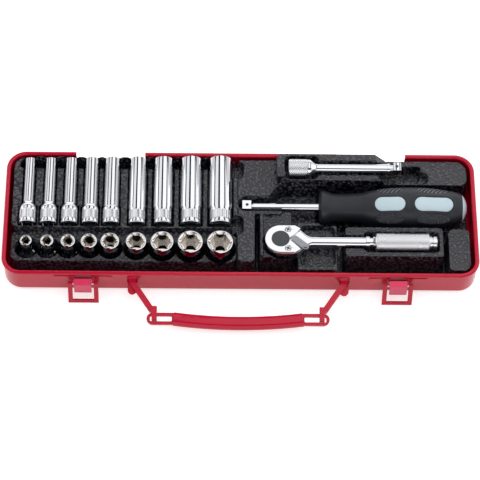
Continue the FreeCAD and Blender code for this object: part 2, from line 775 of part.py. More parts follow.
def head_outline(margin, low, high, tail=0.0):
    """The head's teardrop: a half circle, straight sides and a taper into the neck."""
    r = d.head_radius + margin
    neck = d.neck_width / 2 + margin
    end = d.head_straight + d.head_taper + tail
    top = [Vector(0, r, low), Vector(d.head_straight, r, low),
           Vector(d.head_straight + d.head_taper, neck, low)]
    edges = [Part.Arc(Vector(0, r, low), Vector(-r, 0, low), Vector(0, -r, low)).toShape()]
    lower = [Vector(p.x, -p.y, low) for p in top] + [Vector(end, -neck, low)]
    upper = top + [Vector(end, neck, low)]
    if tail == 0.0:
        lower.pop()
        upper.pop()
    for first, second in zip(lower, lower[1:]):
        edges.append(Part.makeLine(first, second))
    edges.append(Part.makeLine(lower[-1], upper[-1]))
    for first, second in zip(upper[::-1], upper[::-1][1:]):
        edges.append(Part.makeLine(first, second))
    return Part.Face(Part.Wire(edges)).extrude(Vector(0, 0, high - low))


def gear_prism(tip, root, low, high):
    """A ring of equal pointed teeth round the drive's axis."""
    points = []
    for tooth in range(GEAR_TEETH):
        for radius, share in ((root, 0.0), (tip, 0.35), (tip, 0.65)):
            angle = 2 * math.pi * (tooth + share) / GEAR_TEETH
            points.append((radius * math.cos(angle), radius * math.sin(angle)))
    return outline_prism(points, low, high)


def cover_notch(low, high):
    """The V-shaped opening in the cover, with its point beside the lever's pivot."""
    point = d.lever_shaft_x - d.cover_notch_lead
    reach = 2 * d.head_taper
    rise = reach * math.tan(math.radians(d.cover_notch_angle))
    return outline_prism([(point, 0), (point + reach, -rise), (point + reach, rise)], low, high)


def screw_places():
    """The two cover screws' places, one on each side of the head."""
    return [Vector(d.cover_screw_x, side * d.cover_screw_y, 0) for side in (-1, 1)]


def ratchet_body():
    """Forged head with the gear chamber, tapered shoulders, slim neck and the core of the grip."""
    neck = d.neck_width / 2
    core = d.core_diameter / 2
    head = head_outline(0, -d.head_below, d.head_above)
    ramp = d.head_straight + d.head_taper
    for low, high in ((d.head_above, neck), (-d.head_below, -neck)):
        wedge = Part.makePolygon([Vector(d.head_straight, -50, low), Vector(ramp + 1, -50, low),
                                  Vector(ramp + 1, -50, high), Vector(d.head_straight, -50, low)])
        if low < 0:
            head = head.cut(Part.Face(wedge).extrude(Vector(0, 100, 0)))
    shaft = rod(neck, (d.head_straight, 0, 0), (d.neck_length, 0, 0))
    shaft = shaft.cut(box((d.head_straight, -neck, d.head_above), (d.neck_length - neck, neck, neck)))
    collars = [rod(neck + 0.3, (d.neck_length - 0.4, 0, 0), (d.neck_length + 2, 0, 0)),
               rod(neck - 0.4, (d.neck_length, 0, 0), (d.sleeve_start - 1.8, 0, 0)),
               rod(neck + 0.7, (d.sleeve_start - 1.8, 0, 0), (d.sleeve_start, 0, 0)),
               rod(core, (d.sleeve_start - 1, 0, 0), (d.sleeve_start + d.sleeve_length, 0, 0))]
    body = fused([head, shaft] + collars)
    chamber = rod(d.gear_tip_radius + d.seat_gap, (0, 0, d.gear_floor), (0, 0, cover_top))
    bearing = rod(d.gear_bore_radius + d.running_gap, (0, 0, -2 * d.head_below), (0, 0, 0))
    reach = d.pawl_back_radius + d.seat_gap
    half = reach * math.sin(math.radians(d.pawl_half_angle)) + d.seat_gap
    pawl_room = box((0, -half, d.gear_floor), (reach, half, roof))
    pawl_room = pawl_room.common(rod(reach, (0, 0, d.gear_floor), (0, 0, roof)))
    shaft_room = rod(d.lever_shaft_radius + d.running_gap, (d.lever_shaft_x, 0, d.gear_floor),
                     (d.lever_shaft_x, 0, cover_top))
    body = body.cut(chamber).cut(bearing).cut(pawl_room).cut(shaft_room)
    for place in screw_places():
        hole = rod(d.cover_screw_shank / 2, (place.x, place.y, d.gear_floor), (place.x, place.y, cover_top))
        body = body.cut(hole)
    return feature("ratchet_body", body, ratchet_place)


def ratchet_cover():
    """Cover plate over the gear, open in a V for the reverse lever, with two countersunk holes."""
    plate = head_outline(0, d.head_above, cover_top)
    plate = plate.cut(rod(d.disc_radius + d.running_gap, (0, 0, 0), (0, 0, 2 * cover_top)))
    plate = plate.cut(cover_notch(0, 2 * cover_top))
    for place in screw_places():
        plate = plate.cut(screw_solid(place))
    return feature("ratchet_cover", plate, ratchet_place)


def screw_solid(place):
    """A countersunk cover screw without its recess."""
    head = d.cover_screw_head / 2
    shank = d.cover_screw_shank / 2
    cone = Part.makeCone(shank, head, d.cover_thickness, Vector(place.x, place.y, d.head_above), Z_AXIS)
    foot = d.gear_floor + 0.5
    return fused([cone, rod(shank, (place.x, place.y, foot), (place.x, place.y, d.head_above + 0.2))])


def ratchet_screws():
    """The two cross-recessed cover screws."""
    screws = []
    arm = d.cover_screw_head * 0.3
    slot = d.cover_screw_head * 0.08
    for place in screw_places():
        screw = screw_solid(place)
        for x, y in ((arm, slot), (slot, arm)):
            low = (place.x - x, place.y - y, cover_top - d.cover_thickness / 2)
            screw = screw.cut(box(low, (place.x + x, place.y + y, 2 * cover_top)))
        screws.append(screw)
    return feature("ratchet_cover_screws", Part.makeCompound(screws), ratchet_place)


def ratchet_drive():
    """Gear, upper disc, lower journal and drive square in one piece, with the ball's bore."""
    low = d.gear_floor + d.pawl_floor_gap
    gear = gear_prism(d.gear_tip_radius, d.gear_root_radius, low, d.head_above - d.pawl_floor_gap)
    disc = rod(d.disc_radius, (0, 0, 0), (0, 0, cover_top + 0.2))
    foot = -d.head_below - 0.6
    journal = rod(d.gear_bore_radius, (0, 0, foot), (0, 0, 0))
    half = d.drive_square / 2
    square = box((-half, -half, foot - d.drive_length), (half, half, foot + 1))
    drive = fused([gear, disc, journal, square])
    height = foot - d.drive_length * 0.55
    drive = drive.cut(rod(ball_radius + d.running_gap, (0, -half - 1, height), (0, 0, height)))
    ball = ratchet_place.Base + Vector(0, -half + ball_sink, height)
    return [feature("ratchet_drive", drive, ratchet_place), detent_ball("ratchet_ball", ball)]


def ratchet_pawl():
    """Toothed pawl between the gear and the reverse lever's shaft."""
    low = d.gear_floor + d.pawl_floor_gap
    high = low + d.pawl_height
    ring = rod(d.pawl_back_radius, (0, 0, low), (0, 0, high))
    reach = 2 * d.pawl_back_radius
    rise = reach * math.tan(math.radians(d.pawl_half_angle))
    sector = ring.common(outline_prism([(0, 0), (reach, -rise), (reach, rise)], low, high))
    gap = d.seat_gap / 2
    pawl = sector.cut(gear_prism(d.gear_tip_radius + gap, d.gear_root_radius + gap, low - 1, high + 1))
    x = d.lever_shaft_x
    shaft = rod(d.lever_shaft_radius + d.seat_gap, (x, 0, low - 1), (x, 0, high + 1))
    return feature("ratchet_pawl", pawl.cut(shaft), ratchet_place)


def reverse_lever():
    """Pill-shaped reverse lever on a shaft that reaches down to the pawl."""
    half = d.reverse_lever_width / 2
    low = d.head_above + d.running_gap
    reach = d.reverse_lever_length
    thick = d.reverse_lever_thickness
    pill = rounded_prism(-half, -half, reach + half, half, half, low, low + thick)
    thumb = rod(half * 0.55, (reach, 0, low), (reach, 0, low + 1.6 * thick))
    shaft = rod(d.lever_shaft_radius, (0, 0, d.gear_floor + d.pawl_floor_gap), (0, 0, low + 0.5))
    lever = fused([pill, thumb, shaft])
    place = Vector(d.ratchet_x + d.lever_shaft_x, d.ratchet_y, d.ratchet_height)
    return feature("ratchet_reverse_lever", lever, Placement(place, Rotation(Z_AXIS, -d.reverse_lever_angle)))


def ratchet():
    """The whole ratchet."""
    outer = "sleeve_diameter / 2"
    tail = "sleeve_tail_diameter / 2"
    bore = "core_diameter / 2 + running_gap"
    end = "sleeve_length + sleeve_tail_length"
    sleeve = turned("ratchet_sleeve", (
        (bore, "0"),
        (outer + " - edge_break", "0"),
        (outer, "edge_break"),
        (outer, "sleeve_length - edge_break"),
        (outer + " - edge_break", "sleeve_length"),
        (tail, "sleeve_length"),
        (tail, end + " - edge_break"),
        (tail + " - edge_break", end),
        ("0", end),
        ("0", "sleeve_length"),
        (bore, "sleeve_length"),
    ), X_AXIS, ratchet_place.Base + Vector(d.sleeve_start, 0, 0))
    nodes = [ratchet_body(), ratchet_cover(), ratchet_screws(), sleeve]
    return nodes + ratchet_drive() + [ratchet_pawl(), reverse_lever()]


# Tray: a thin thermoformed sheet, made as the form's outer skin less the same form moved in by the sheet


tray_right = wall_x - d.pan_sheet - d.tray_clearance
tray_front = -wall_y + d.pan_sheet + d.tray_clearance
tray_back = wall_y - d.pan_sheet - d.tray_clearance
tray_corner_relief = 1.2 * d.tray_clearance
deck_step = d.deep_row_y - d.pocket_gap - d.tray_rim
deck_right = socket_x[-1] + socket_width[-1] / 2 + d.pocket_gap + d.tray_rim
deck_front = d.short_row_y - max(socket_width) / 2 - d.hole_gap - d.tray_rim / 2
bar_end = d.bar_x + d.bar_length
boss_left = d.bar_x - 3.5 * d.tray_rim
boss_right = bar_end - d.bar_tip_length - d.tray_rim
boss_front = bar_y - d.bar_head_diameter / 2 - d.pocket_gap - d.tray_rim
grip_x = d.spinner_x + d.spinner_grip_start
shaft_front = d.spinner_y - d.drive_square - d.tray_rim
head_left = d.ratchet_x - d.head_radius - d.pocket_gap - 1.3 * d.tray_rim
head_right = d.ratchet_x + d.head_straight - d.tray_rim / 2
head_front = d.ratchet_y - d.head_radius - 2 * d.pocket_gap
sleeve_end = d.ratchet_x + d.sleeve_start + d.sleeve_length + d.sleeve_tail_length
block_left = d.ratchet_x + d.neck_length - 6 * d.tray_rim
block_right = sleeve_end + 2 * d.tray_rim
block_front = d.ratchet_y - d.sleeve_diameter / 2 - d.pocket_gap - 2 * d.tray_rim
block_back = d.spinner_y - d.spinner_belly_radius - d.pocket_gap - d.tray_rim
shelf_left = block_left - d.tray_gap - d.shelf_width
shelf_right = block_left - d.tray_gap


def tray_blocks(inset):
    """The raised blocks of the form, moved in by an inset; lower blocks run under their neighbours."""
    base = d.pan_sheet + d.tray_lift if inset == 0 else -1
    under = 2 * d.tray_rim
    blocks = (
        (-tray_right, deck_step, deck_right + under, tray_back, d.deep_deck, 7),
        (-tray_right, deck_front, deck_right + under, deck_step + under, d.short_deck, 7),
        (deck_right, shaft_front, boss_left + under, tray_back, d.plateau, 3),
        (deck_right, deck_front - d.tray_rim / 2, head_left - d.tray_groove, shaft_front + under,
         d.plateau, 3),
        (boss_right - under, boss_front - 1, tray_right, tray_back, d.plateau, 7),
        (boss_left - under, block_back, grip_x, boss_front + under, d.well_floor + d.tray_rim, 2),
        (head_left, head_front, head_right, shaft_front + under, d.platform, 2),
        (head_left, head_front, head_left + 1.5 * d.tray_rim, shaft_front + under, d.plateau, 1),
        (shelf_left, tray_front + 1.3, shelf_right, block_back + under, d.shelf_top, 2),
        (block_left, block_front, block_right, block_back, d.grip_block_top, 3),
        (tray_right - d.side_width, tray_front + 1, tray_right, block_back, d.side_plateau, 4),
    )
    shapes = [box((-tray_right, tray_front, base), (tray_right, tray_back, tray_floor - inset))]
    for x0, y0, x1, y1, top, radius in blocks:
        shapes.append(rounded_prism(x0 + inset, y0 + inset, x1 - inset, y1 - inset, max(radius - inset, 0.6),
                                    base, top - inset))
    boss = rounded_prism(boss_left + inset, boss_front + inset, boss_right - inset, tray_back - inset, 3,
                         base, d.boss_top - inset)
    slope = d.boss_top - d.plateau
    top_x = boss_right - slope - inset
    past_x = boss_right + slope
    low_z = d.plateau - inset
    corners = ((top_x, d.boss_top), (boss_right - inset, low_z), (past_x, low_z), (past_x, d.boss_top),
               (top_x, d.boss_top))
    wedge = Part.makePolygon([Vector(x, -d.case_depth, z) for x, z in corners])
    shapes.append(boss.cut(Part.Face(wedge).extrude(Vector(0, 2 * d.case_depth, 0))))
    footprint = rounded_prism(-tray_right + inset, tray_front + inset, tray_right - inset, tray_back - inset,
                              pan_corner - tray_corner_relief - inset, base, d.boss_top)
    return fused(shapes).common(footprint)


def tray_pockets(inset):
    """The pockets and finger wells cut into the form, grown by an inset."""
    top = d.boss_top + 20
    cuts = []

    def well(x0, y0, x1, y1, floor, radius=2.0):
        cuts.append(rounded_prism(x0 - inset, y0 - inset, x1 + inset, y1 + inset, radius + inset,
                                  floor - inset, top))

    gap = d.pocket_gap
    for i in range(len(SOCKET_NAMES)):
        x = socket_x[i]
        outside = getattr(d, "deep_diameter_%d" % (i + 1))
        drive = max(d.drive_end_diameter, outside - d.drive_end_relief)
        flare = d.deep_band + d.flare_slope * abs(drive - outside) / 2 + 2 * d.edge_break
        y0 = d.deep_row_y - gap
        y1 = d.deep_row_y + flare
        y2 = d.deep_row_y + d.deep_length + gap
        for width, start, end in ((max(drive, outside), y0, y1), (outside, y1 - gap, y2)):
            radius = width / 2 + d.seat_gap + inset
            trough = rod(radius, (x, start - inset, d.deep_axis_height), (x, end + inset, d.deep_axis_height))
            cuts.append(trough)
            cuts.append(box((x - radius, start - inset, d.deep_axis_height), (x + radius, end + inset, top)))
        hole = socket_width[i] / 2 + d.hole_gap + inset
        hole_y = d.short_row_y - gap / 2
        cuts.append(rod(hole, (x, hole_y, tray_floor - inset), (x, hole_y, top)))
    left = socket_x[0] - d.drive_end_diameter / 2
    right = socket_x[-1] + socket_width[-1] / 2
    channel = d.deep_row_y + d.deep_length
    well(left, channel - d.finger_width / 2, right, channel + gap,
         d.deep_axis_height - d.drive_end_diameter / 2 - d.tray_rim)
    for y in (channel - d.finger_width / 2, d.deep_row_y + gap):
        well(right - gap, y - d.finger_width / 2, right + d.finger_width / 2, y + d.finger_width / 2,
             d.plateau - d.finger_width / 2, d.finger_width / 3)

    head = d.bar_head_diameter / 2 + gap
    shaft = d.bar_diameter / 2 + gap
    tip_x = bar_end - d.bar_tip_length
    well(d.bar_x - 2 * gap, bar_y - head, d.bar_x + d.bar_head_length + d.bar_taper, bar_y + head,
         d.bar_height - d.bar_head_diameter / 2 - d.seat_gap)
    well(d.bar_x + d.bar_head_length, bar_y - shaft, tip_x - d.tray_rim, bar_y + shaft,
         d.bar_height - d.bar_diameter / 2 - d.seat_gap, gap)
    well(tip_x - 3 * d.tray_rim, bar_y - shaft, bar_end + d.finger_width, bar_y + shaft + gap,
         d.plateau - d.finger_width * 0.7)
    well(tip_x - 3 * d.tray_rim, boss_front + d.tray_rim / 2, bar_end + 1.35 * d.finger_width, bar_y,
         d.plateau - d.finger_width * 0.4, d.finger_width / 4)

    tip = d.drive_square / 2 + gap
    well(d.spinner_x - 2 * gap, d.spinner_y - tip - gap, grip_x + gap, d.spinner_y + tip + gap,
         d.spinner_height - d.drive_square / 2 - d.seat_gap, tip * 0.8)
    well(boss_left - d.tray_rim, d.spinner_y, grip_x + gap, boss_front - gap,
         d.well_floor, d.finger_width / 3)
    belly = d.spinner_belly_radius + gap
    well(grip_x - gap, d.spinner_y - belly, d.spinner_x + d.spinner_length + 3 * gap, d.spinner_y + belly,
         d.spinner_height - d.spinner_belly_radius - d.seat_gap, 5.0)

    x = d.ratchet_x
    y = d.ratchet_y
    seat = head_outline(gap + inset, d.ratchet_height - d.head_below - d.seat_gap - inset, top, 4 * gap)
    seat.translate(Vector(x, y, 0))
    cuts.append(seat)
    cuts.append(rod(d.gear_bore_radius + d.seat_gap + inset, (x, y, tray_floor - inset), (x, y, top)))
    neck = d.neck_width / 2 + gap
    well(x + d.head_straight, y - neck, x + d.sleeve_start, y + neck,
         d.ratchet_height - d.neck_width / 2 - d.seat_gap, gap)
    grip = d.sleeve_diameter / 2 + gap
    well(x + d.neck_length - gap, y - grip, sleeve_end + gap, y + grip,
         d.ratchet_height - d.sleeve_diameter / 2 - d.seat_gap)
    well(shelf_left + d.tray_rim, tray_front + 2 * d.tray_rim, shelf_right - d.tray_rim, y + d.finger_width,
         d.shelf_top - d.shelf_recess, d.finger_width / 3)
    return cuts


def tool_tray():
    """The thermoformed tray."""
    skins = []
    for inset in (0, d.tray_wall):
        skins.append(tray_blocks(inset).cut(tray_pockets(inset)))
    tray = skins[0].cut(skins[1])
    return feature("tool_tray", tray)


def check(nodes):
    """Stop unless every object is computed and every node's shape is sound."""
    for thing in doc.Objects:
        if "Invalid" in thing.State or "Error" in thing.State:
            raise RuntimeError("not computed: " + thing.Name)
    for node in nodes:
        if node.Shape.isNull() or not node.Shape.isValid() or not node.Shape.Solids:
            raise RuntimeError("unsound shape: " + node.Label)


def main():
    """Build every piece, check it and write it."""
    nodes = [case_pan(), tool_tray(), handle_grip(), handle_link(-1, "handle_link_left"),
             handle_link(1, "handle_link_right")]
    nodes += latches() + sockets() + extension_bar() + spinner() + ratchet()
    doc.recompute()
    check(nodes)
    os.makedirs("parts", exist_ok=True)
    for node in nodes:
        node.Shape.exportStep("parts/" + node.Label + ".step")


main()
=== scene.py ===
import logging
import math
from dataclasses import dataclass
from enum import Enum
from typing import Any, Iterable, Sequence

import bpy
import numpy as np
from mathutils import Matrix, Vector


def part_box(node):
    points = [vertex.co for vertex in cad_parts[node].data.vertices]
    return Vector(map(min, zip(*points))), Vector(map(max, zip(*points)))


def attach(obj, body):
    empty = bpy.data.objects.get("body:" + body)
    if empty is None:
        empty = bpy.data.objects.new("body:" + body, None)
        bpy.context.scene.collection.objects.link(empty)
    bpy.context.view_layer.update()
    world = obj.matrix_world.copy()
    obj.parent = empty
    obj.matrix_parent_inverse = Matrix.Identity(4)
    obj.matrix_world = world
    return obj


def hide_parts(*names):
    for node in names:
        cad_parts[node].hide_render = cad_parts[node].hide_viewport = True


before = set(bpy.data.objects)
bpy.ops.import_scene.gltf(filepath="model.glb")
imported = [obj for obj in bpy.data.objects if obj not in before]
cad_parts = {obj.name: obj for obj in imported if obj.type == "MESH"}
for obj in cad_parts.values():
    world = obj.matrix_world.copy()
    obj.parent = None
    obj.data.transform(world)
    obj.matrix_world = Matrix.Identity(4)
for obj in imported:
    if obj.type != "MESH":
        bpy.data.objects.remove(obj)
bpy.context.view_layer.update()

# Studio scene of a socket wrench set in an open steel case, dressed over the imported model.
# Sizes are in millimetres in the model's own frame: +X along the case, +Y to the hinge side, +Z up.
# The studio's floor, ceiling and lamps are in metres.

Array = np.ndarray
MM = 0.001
FULL_TURN = 2.0 * math.pi
LOG = logging.getLogger("socket_set")


class Section(Enum):
    """Cross sections that a turned or broached surface can have."""

    ROUND = "round"
    HEX = "hex"
    SQUARE = "square"


class Along(Enum):
    """The direction that a turned piece's axis points in, and the two directions across it."""

    X = (0, 1, 2)
    Y = (1, 2, 0)
    Z = (2, 0, 1)


# A station of a turned piece: distance on the axis, section, and its radius or its width across flats.
Station = tuple[float, Section, float]


# Numbers and arrays


def to_linear(code: str) -> tuple[float, float, float, float]:
    """Turn an sRGB hex colour into linear RGBA.

    Args:
        code: Colour as "#RRGGBB".

    Returns:
        Linear red, green, blue and an alpha of 1.
    """
    raw = np.array([int(code[i:i + 2], 16) for i in (1, 3, 5)]) / 255.0
    linear = np.where(raw <= 0.04045, raw / 12.92, ((raw + 0.055) / 1.055) ** 2.4)
    return (*map(float, linear), 1.0)


def ease(t: Array) -> Array:
    """Smooth step: 0 below 0, 1 above 1, and 3t^2 - 2t^3 between."""
    t = np.clip(t, 0.0, 1.0)
    return t * t * (3.0 - 2.0 * t)


def polar_radius(section: Section, size: float, theta: Array) -> Array:
    """Radius of a section at each angle.

    A regular polygon's radius is its half width over the cosine of the angle to the nearest flat's middle.

    Args:
        section: Which section.
        size: Radius of a round section, width across flats of the others.
        theta: Angles.

    Returns:
        The radius at each angle.
    """
    if section is Section.ROUND:
        return np.full_like(theta, size)
    step = math.pi / 3 if section is Section.HEX else math.pi / 2
    turn = step / 2 if section is Section.HEX else 0.0
    away = np.mod(theta + turn + step / 2, step) - step / 2
    return 0.5 * size / np.cos(away)


def round_stations(rows: Iterable[tuple[float, float]]) -> list[Station]:
    """Stations of a round section, from distances on the axis and radii."""
    return [(float(distance), Section.ROUND, float(radius)) for distance, radius in rows]


def read_stations(stations: Sequence[Station], theta: Array) -> tuple[Array, Array]:
    """Distance of each station on the axis, and its radius at each angle."""
    along = np.array([distance for distance, _, _ in stations])
    return along, np.stack([polar_radius(section, size, theta) for _, section, size in stations])


def knurl(along: Array, theta: Array, radius: float, pitch: float, depth: float) -> Array:
    """Height of a diamond knurl: the lower of two triangle waves that climb the two diagonals.

    Args:
        along: Distance along the axis, as a column.
        theta: Angle round the axis, as a row.
        radius: Radius that the pitch is measured on.
        pitch: Distance between ridges.
        depth: Depth of the cut.

    Returns:
        The change of radius, from minus depth to 0.
    """
    count = round(FULL_TURN * radius / pitch)
    turn = theta * count / FULL_TURN
    rise = along / pitch
    first = 2.0 * np.abs(np.mod(turn + rise, 1.0) - 0.5)
    second = 2.0 * np.abs(np.mod(turn - rise, 1.0) - 0.5)
    return depth * (np.minimum(first, second) - 1.0)


def ring_angles(count: int) -> Array:
    """Equal angles round a circle, without the last that repeats the first."""
    return np.arange(count) * (FULL_TURN / count)


def half_turns(angle: Array) -> Array:
    """The same angles, brought between minus and plus half a turn."""
    return np.mod(angle + math.pi, FULL_TURN) - math.pi


def grid_faces(rows: int, columns: int, wrap_rows: bool = False, wrap_columns: bool = True) -> Array:
    """Quads over a grid of points.

    Args:
        rows: Number of rows.
        columns: Number of columns.
        wrap_rows: Join the last row to the first.
        wrap_columns: Join the last column to the first.

    Returns:
        Four point numbers for each quad.
    """
    number = np.arange(rows * columns).reshape(rows, columns)
    below = number if wrap_rows else number[:-1]
    above = np.roll(number, -1, 0) if wrap_rows else number[1:]
    if wrap_columns:
        right_below, right_above = np.roll(below, -1, 1), np.roll(above, -1, 1)
    else:
        right_below, right_above = below[:, 1:], above[:, 1:]
        below, above = below[:, :-1], above[:, :-1]
    return np.stack((below, right_below, right_above, above), -1).reshape(-1, 4)


def join_grids(grids: Sequence[Array]) -> tuple[Array, Array]:
    """Put grids of points, each closed round its columns, into one list.

    Args:
        grids: Grids as rows by columns by three.

    Returns:
        All their points, and quads over them.
    """
    starts = np.cumsum([0] + [grid.shape[0] * grid.shape[1] for grid in grids[:-1]])
    faces = [grid_faces(*grid.shape[:2]) + start for grid, start in zip(grids, starts)]
    return np.concatenate([grid.reshape(-1, 3) for grid in grids]), np.concatenate(faces)


def pole(ring: Array) -> Array:
    """A row of points in the middle of a ring, which closes it."""
    return np.broadcast_to(ring.mean(0), (1, *ring.shape))


def revolve(along: Array, radius: Array, theta: Array, origin: Array, axis: Along) -> Array:
    """Points of a turned surface: each is the origin, plus its distance on the axis, plus its radius at its angle.

    Args:
        along: Distance on the axis, one a row.
        radius: Radius of each point, rows by angles.
        theta: Angle of each column.
        origin: Where the axis starts.
        axis: The axis's direction.

    Returns:
        Points as rows by angles by three.
    """
    points = np.empty(radius.shape + (3,))
    main, first, second = axis.value
    points[..., main] = along[:, None]
    points[..., first] = radius * np.cos(theta)
    points[..., second] = radius * np.sin(theta)
    return points + origin


# Meshes and pieces


def node_box(node: str) -> tuple[Array, Array]:
    """Lowest and highest corner of a node's box, in millimetres."""
    low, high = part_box(node)
    return np.array(low) / MM, np.array(high) / MM


def middle(node: str) -> Array:
    """Middle of a node's box, in millimetres."""
    low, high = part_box(node)
    return 0.5 * (np.array(low) + np.array(high)) / MM


def axis_start(node: str, axis: Along) -> Array:
    """Where a turned node's axis starts: the middle of its box, moved to the box's low end.

    Args:
        node: Name of the node.
        axis: The axis's direction.

    Returns:
        The point, in millimetres.
    """
    low, high = node_box(node)
    start = 0.5 * (low + high)
    start[axis.value[0]] = low[axis.value[0]]
    return start


def weld(points: Array, faces: Array) -> tuple[Array, Array]:
    """Merge points that agree to a tenth of a micrometre, and drop the triangles that collapse.

    Args:
        points: Points in millimetres.
        faces: Quads or triangles over them.

    Returns:
        The merged points, and triangles over them.
    """
    _, first, group = np.unique(np.round(points, 4), axis=0, return_index=True, return_inverse=True)
    flat = group.reshape(-1)[faces]
    if flat.shape[1] == 4:
        flat = np.concatenate((flat[:, [0, 1, 2]], flat[:, [0, 2, 3]]))
    sound = (flat[:, 0] != flat[:, 1]) & (flat[:, 1] != flat[:, 2]) & (flat[:, 2] != flat[:, 0])
    return points[first], flat[sound]


def signed_volume(points: Array, triangles: Array) -> float:
    """Volume inside a closed surface, negative where its faces point inwards."""
    a, b, c = (points[triangles[:, i]] for i in range(3))
    return float(np.einsum("ij,ij->i", a, np.cross(b, c)).sum() / 6.0)


def mesh_from(name: str, points: Array, faces: Array, crease: float) -> bpy.types.Mesh:
    """Put points and faces into a mesh, smooth but for creases.

    Args:
        name: Name of the mesh.
        points: Points in millimetres.
        faces: Quads or triangles.
        crease: Angle in degrees above which an edge stays sharp.

    Returns:
        The mesh, in metres.
    """
    points, triangles = weld(points.reshape(-1, 3), faces)
    if signed_volume(points, triangles) < 0:
        triangles = triangles[:, ::-1]
    mesh = bpy.data.meshes.new(name)
    mesh.vertices.add(len(points))
    mesh.vertices.foreach_set("co", (points * MM).astype(np.float32).ravel())
    mesh.loops.add(triangles.size)
    mesh.loops.foreach_set("vertex_index", triangles.astype(np.int32).ravel())
    mesh.polygons.add(len(triangles))
    mesh.polygons.foreach_set("loop_start", np.arange(0, triangles.size, 3, dtype=np.int32))
    mesh.update(calc_edges=True)
    mesh.validate()
    mesh.shade_smooth()
    mesh.set_sharp_from_angle(angle=math.radians(crease))
    return mesh


def face_centres(mesh: bpy.types.Mesh) -> Array:
    """Centre of each face of a mesh.

    Args:
        mesh: The mesh, in metres.

    Returns:
        The centres, in millimetres.
    """
    centre = np.empty(len(mesh.polygons) * 3, np.float32)
    mesh.polygons.foreach_get("center", centre)
    return centre.reshape(-1, 3) / MM


def add_piece(name: str, mesh: bpy.types.Mesh, finishes: Sequence["Finish"], body: str,
              stands_for: Sequence[str]) -> bpy.types.Object:
    """Make a finished piece that rides on a body.

    Args:
        name: Name of the piece.
        mesh: Its mesh, already in place.
        finishes: Finish of each material index.
        body: The body that it moves with.
        stands_for: The nodes that it replaces.

    Returns:
        The piece.
    """
    piece = bpy.data.objects.new(name, mesh)
    bpy.context.scene.collection.objects.link(piece)
    for finish in finishes:
        mesh.materials.append(finish.material())
    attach(piece, body)
    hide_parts(*stands_for)
    LOG.info("%s: %d triangles, on %s", name, len(mesh.polygons), body)
    return piece


def node_points(node: str) -> tuple[Array, Array]:
    """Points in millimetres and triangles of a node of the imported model.

    Args:
        node: Name of the node.

    Returns:
        Its points and its triangles.
    """
    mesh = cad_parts[node].data
    points = np.empty(len(mesh.vertices) * 3, np.float32)
    mesh.vertices.foreach_get("co", points)
    corners = np.empty(len(mesh.loops), np.int32)
    mesh.loops.foreach_get("vertex_index", corners)
    return points.reshape(-1, 3).astype(float) / MM, corners.reshape(-1, 3)


def merged_copy(node: str, body: str, finish: "Finish", crease: float = 30.0, edge: float = 0.0) -> None:
    """Add a smooth copy of a node's own shape, with its loose triangles joined and its edges broken.

    Args:
        node: The node that is copied and replaced.
        body: The body that the copy rides on.
        finish: Its finish.
        crease: Angle in degrees above which an edge stays sharp.
        edge: Width in millimetres of the broken edges, none at 0.
    """
    name = node + "_dressed"
    piece = add_piece(name, mesh_from(name, *node_points(node), crease), [finish], body, [node])
    if edge > 0:
        bevel = piece.modifiers.new("broken_edges", "BEVEL")
        bevel.width = edge * MM
        bevel.segments = 2
        bevel.limit_method = "ANGLE"
        bevel.angle_limit = math.radians(40)
        bevel.harden_normals = False


# Finishes


def add_node(tree: bpy.types.NodeTree, kind: str, settings: dict[str, Any] | None = None,
             inputs: dict[str | int, Any] | None = None,
             feeds: dict[str | int, bpy.types.NodeSocket] | None = None) -> bpy.types.Node:
    """Add a node with its settings, set or link its inputs, and link its outputs onwards.

    Args:
        tree: The node tree.
        kind: Type of node.
        settings: Properties of the node.
        inputs: Value or source socket of each input.
        feeds: Socket that each output leads to.

    Returns:
        The node.
    """
    node = tree.nodes.new(kind)
    for name, value in (settings or {}).items():
        setattr(node, name, value)
    for name, value in (inputs or {}).items():
        if isinstance(value, bpy.types.NodeSocket):
            tree.links.new(value, node.inputs[name])
        else:
            node.inputs[name].default_value = value
    for name, target in (feeds or {}).items():
        tree.links.new(node.outputs[name], target)
    return node


def per_mm(size: float) -> float:
    """Texture scale that gives features of a size in millimetres."""
    return 1.0 / (size * MM)


def background_rays(tree: bpy.types.NodeTree) -> bpy.types.NodeSocket:
    """1 for rays that show the background: to the camera, in a reflection or through glass.

    Args:
        tree: The nodes that ask.

    Returns:
        The socket that gives it.
    """
    rays = add_node(tree, "ShaderNodeLightPath")
    shown = rays.outputs["Is Camera Ray"]
    for kind in ("Is Glossy Ray", "Is Transmission Ray"):
        either = add_node(tree, "ShaderNodeMath", {"operation": "MAXIMUM"}, {0: shown, 1: rays.outputs[kind]})
        shown = either.outputs[0]
    return shown


@dataclass(frozen=True)
class Cloud:
    """A noise over a surface, and what it changes there.

    Its size is in millimetres. It can tint the colour towards the finish's shade, move the roughness between two
    shares of the finish's own, and raise the surface by a strength and a height in millimetres.
    """

    size: float
    detail: float
    tints: bool = False
    rough: tuple[float, float] | None = None
    relief: tuple[float, float] | None = None


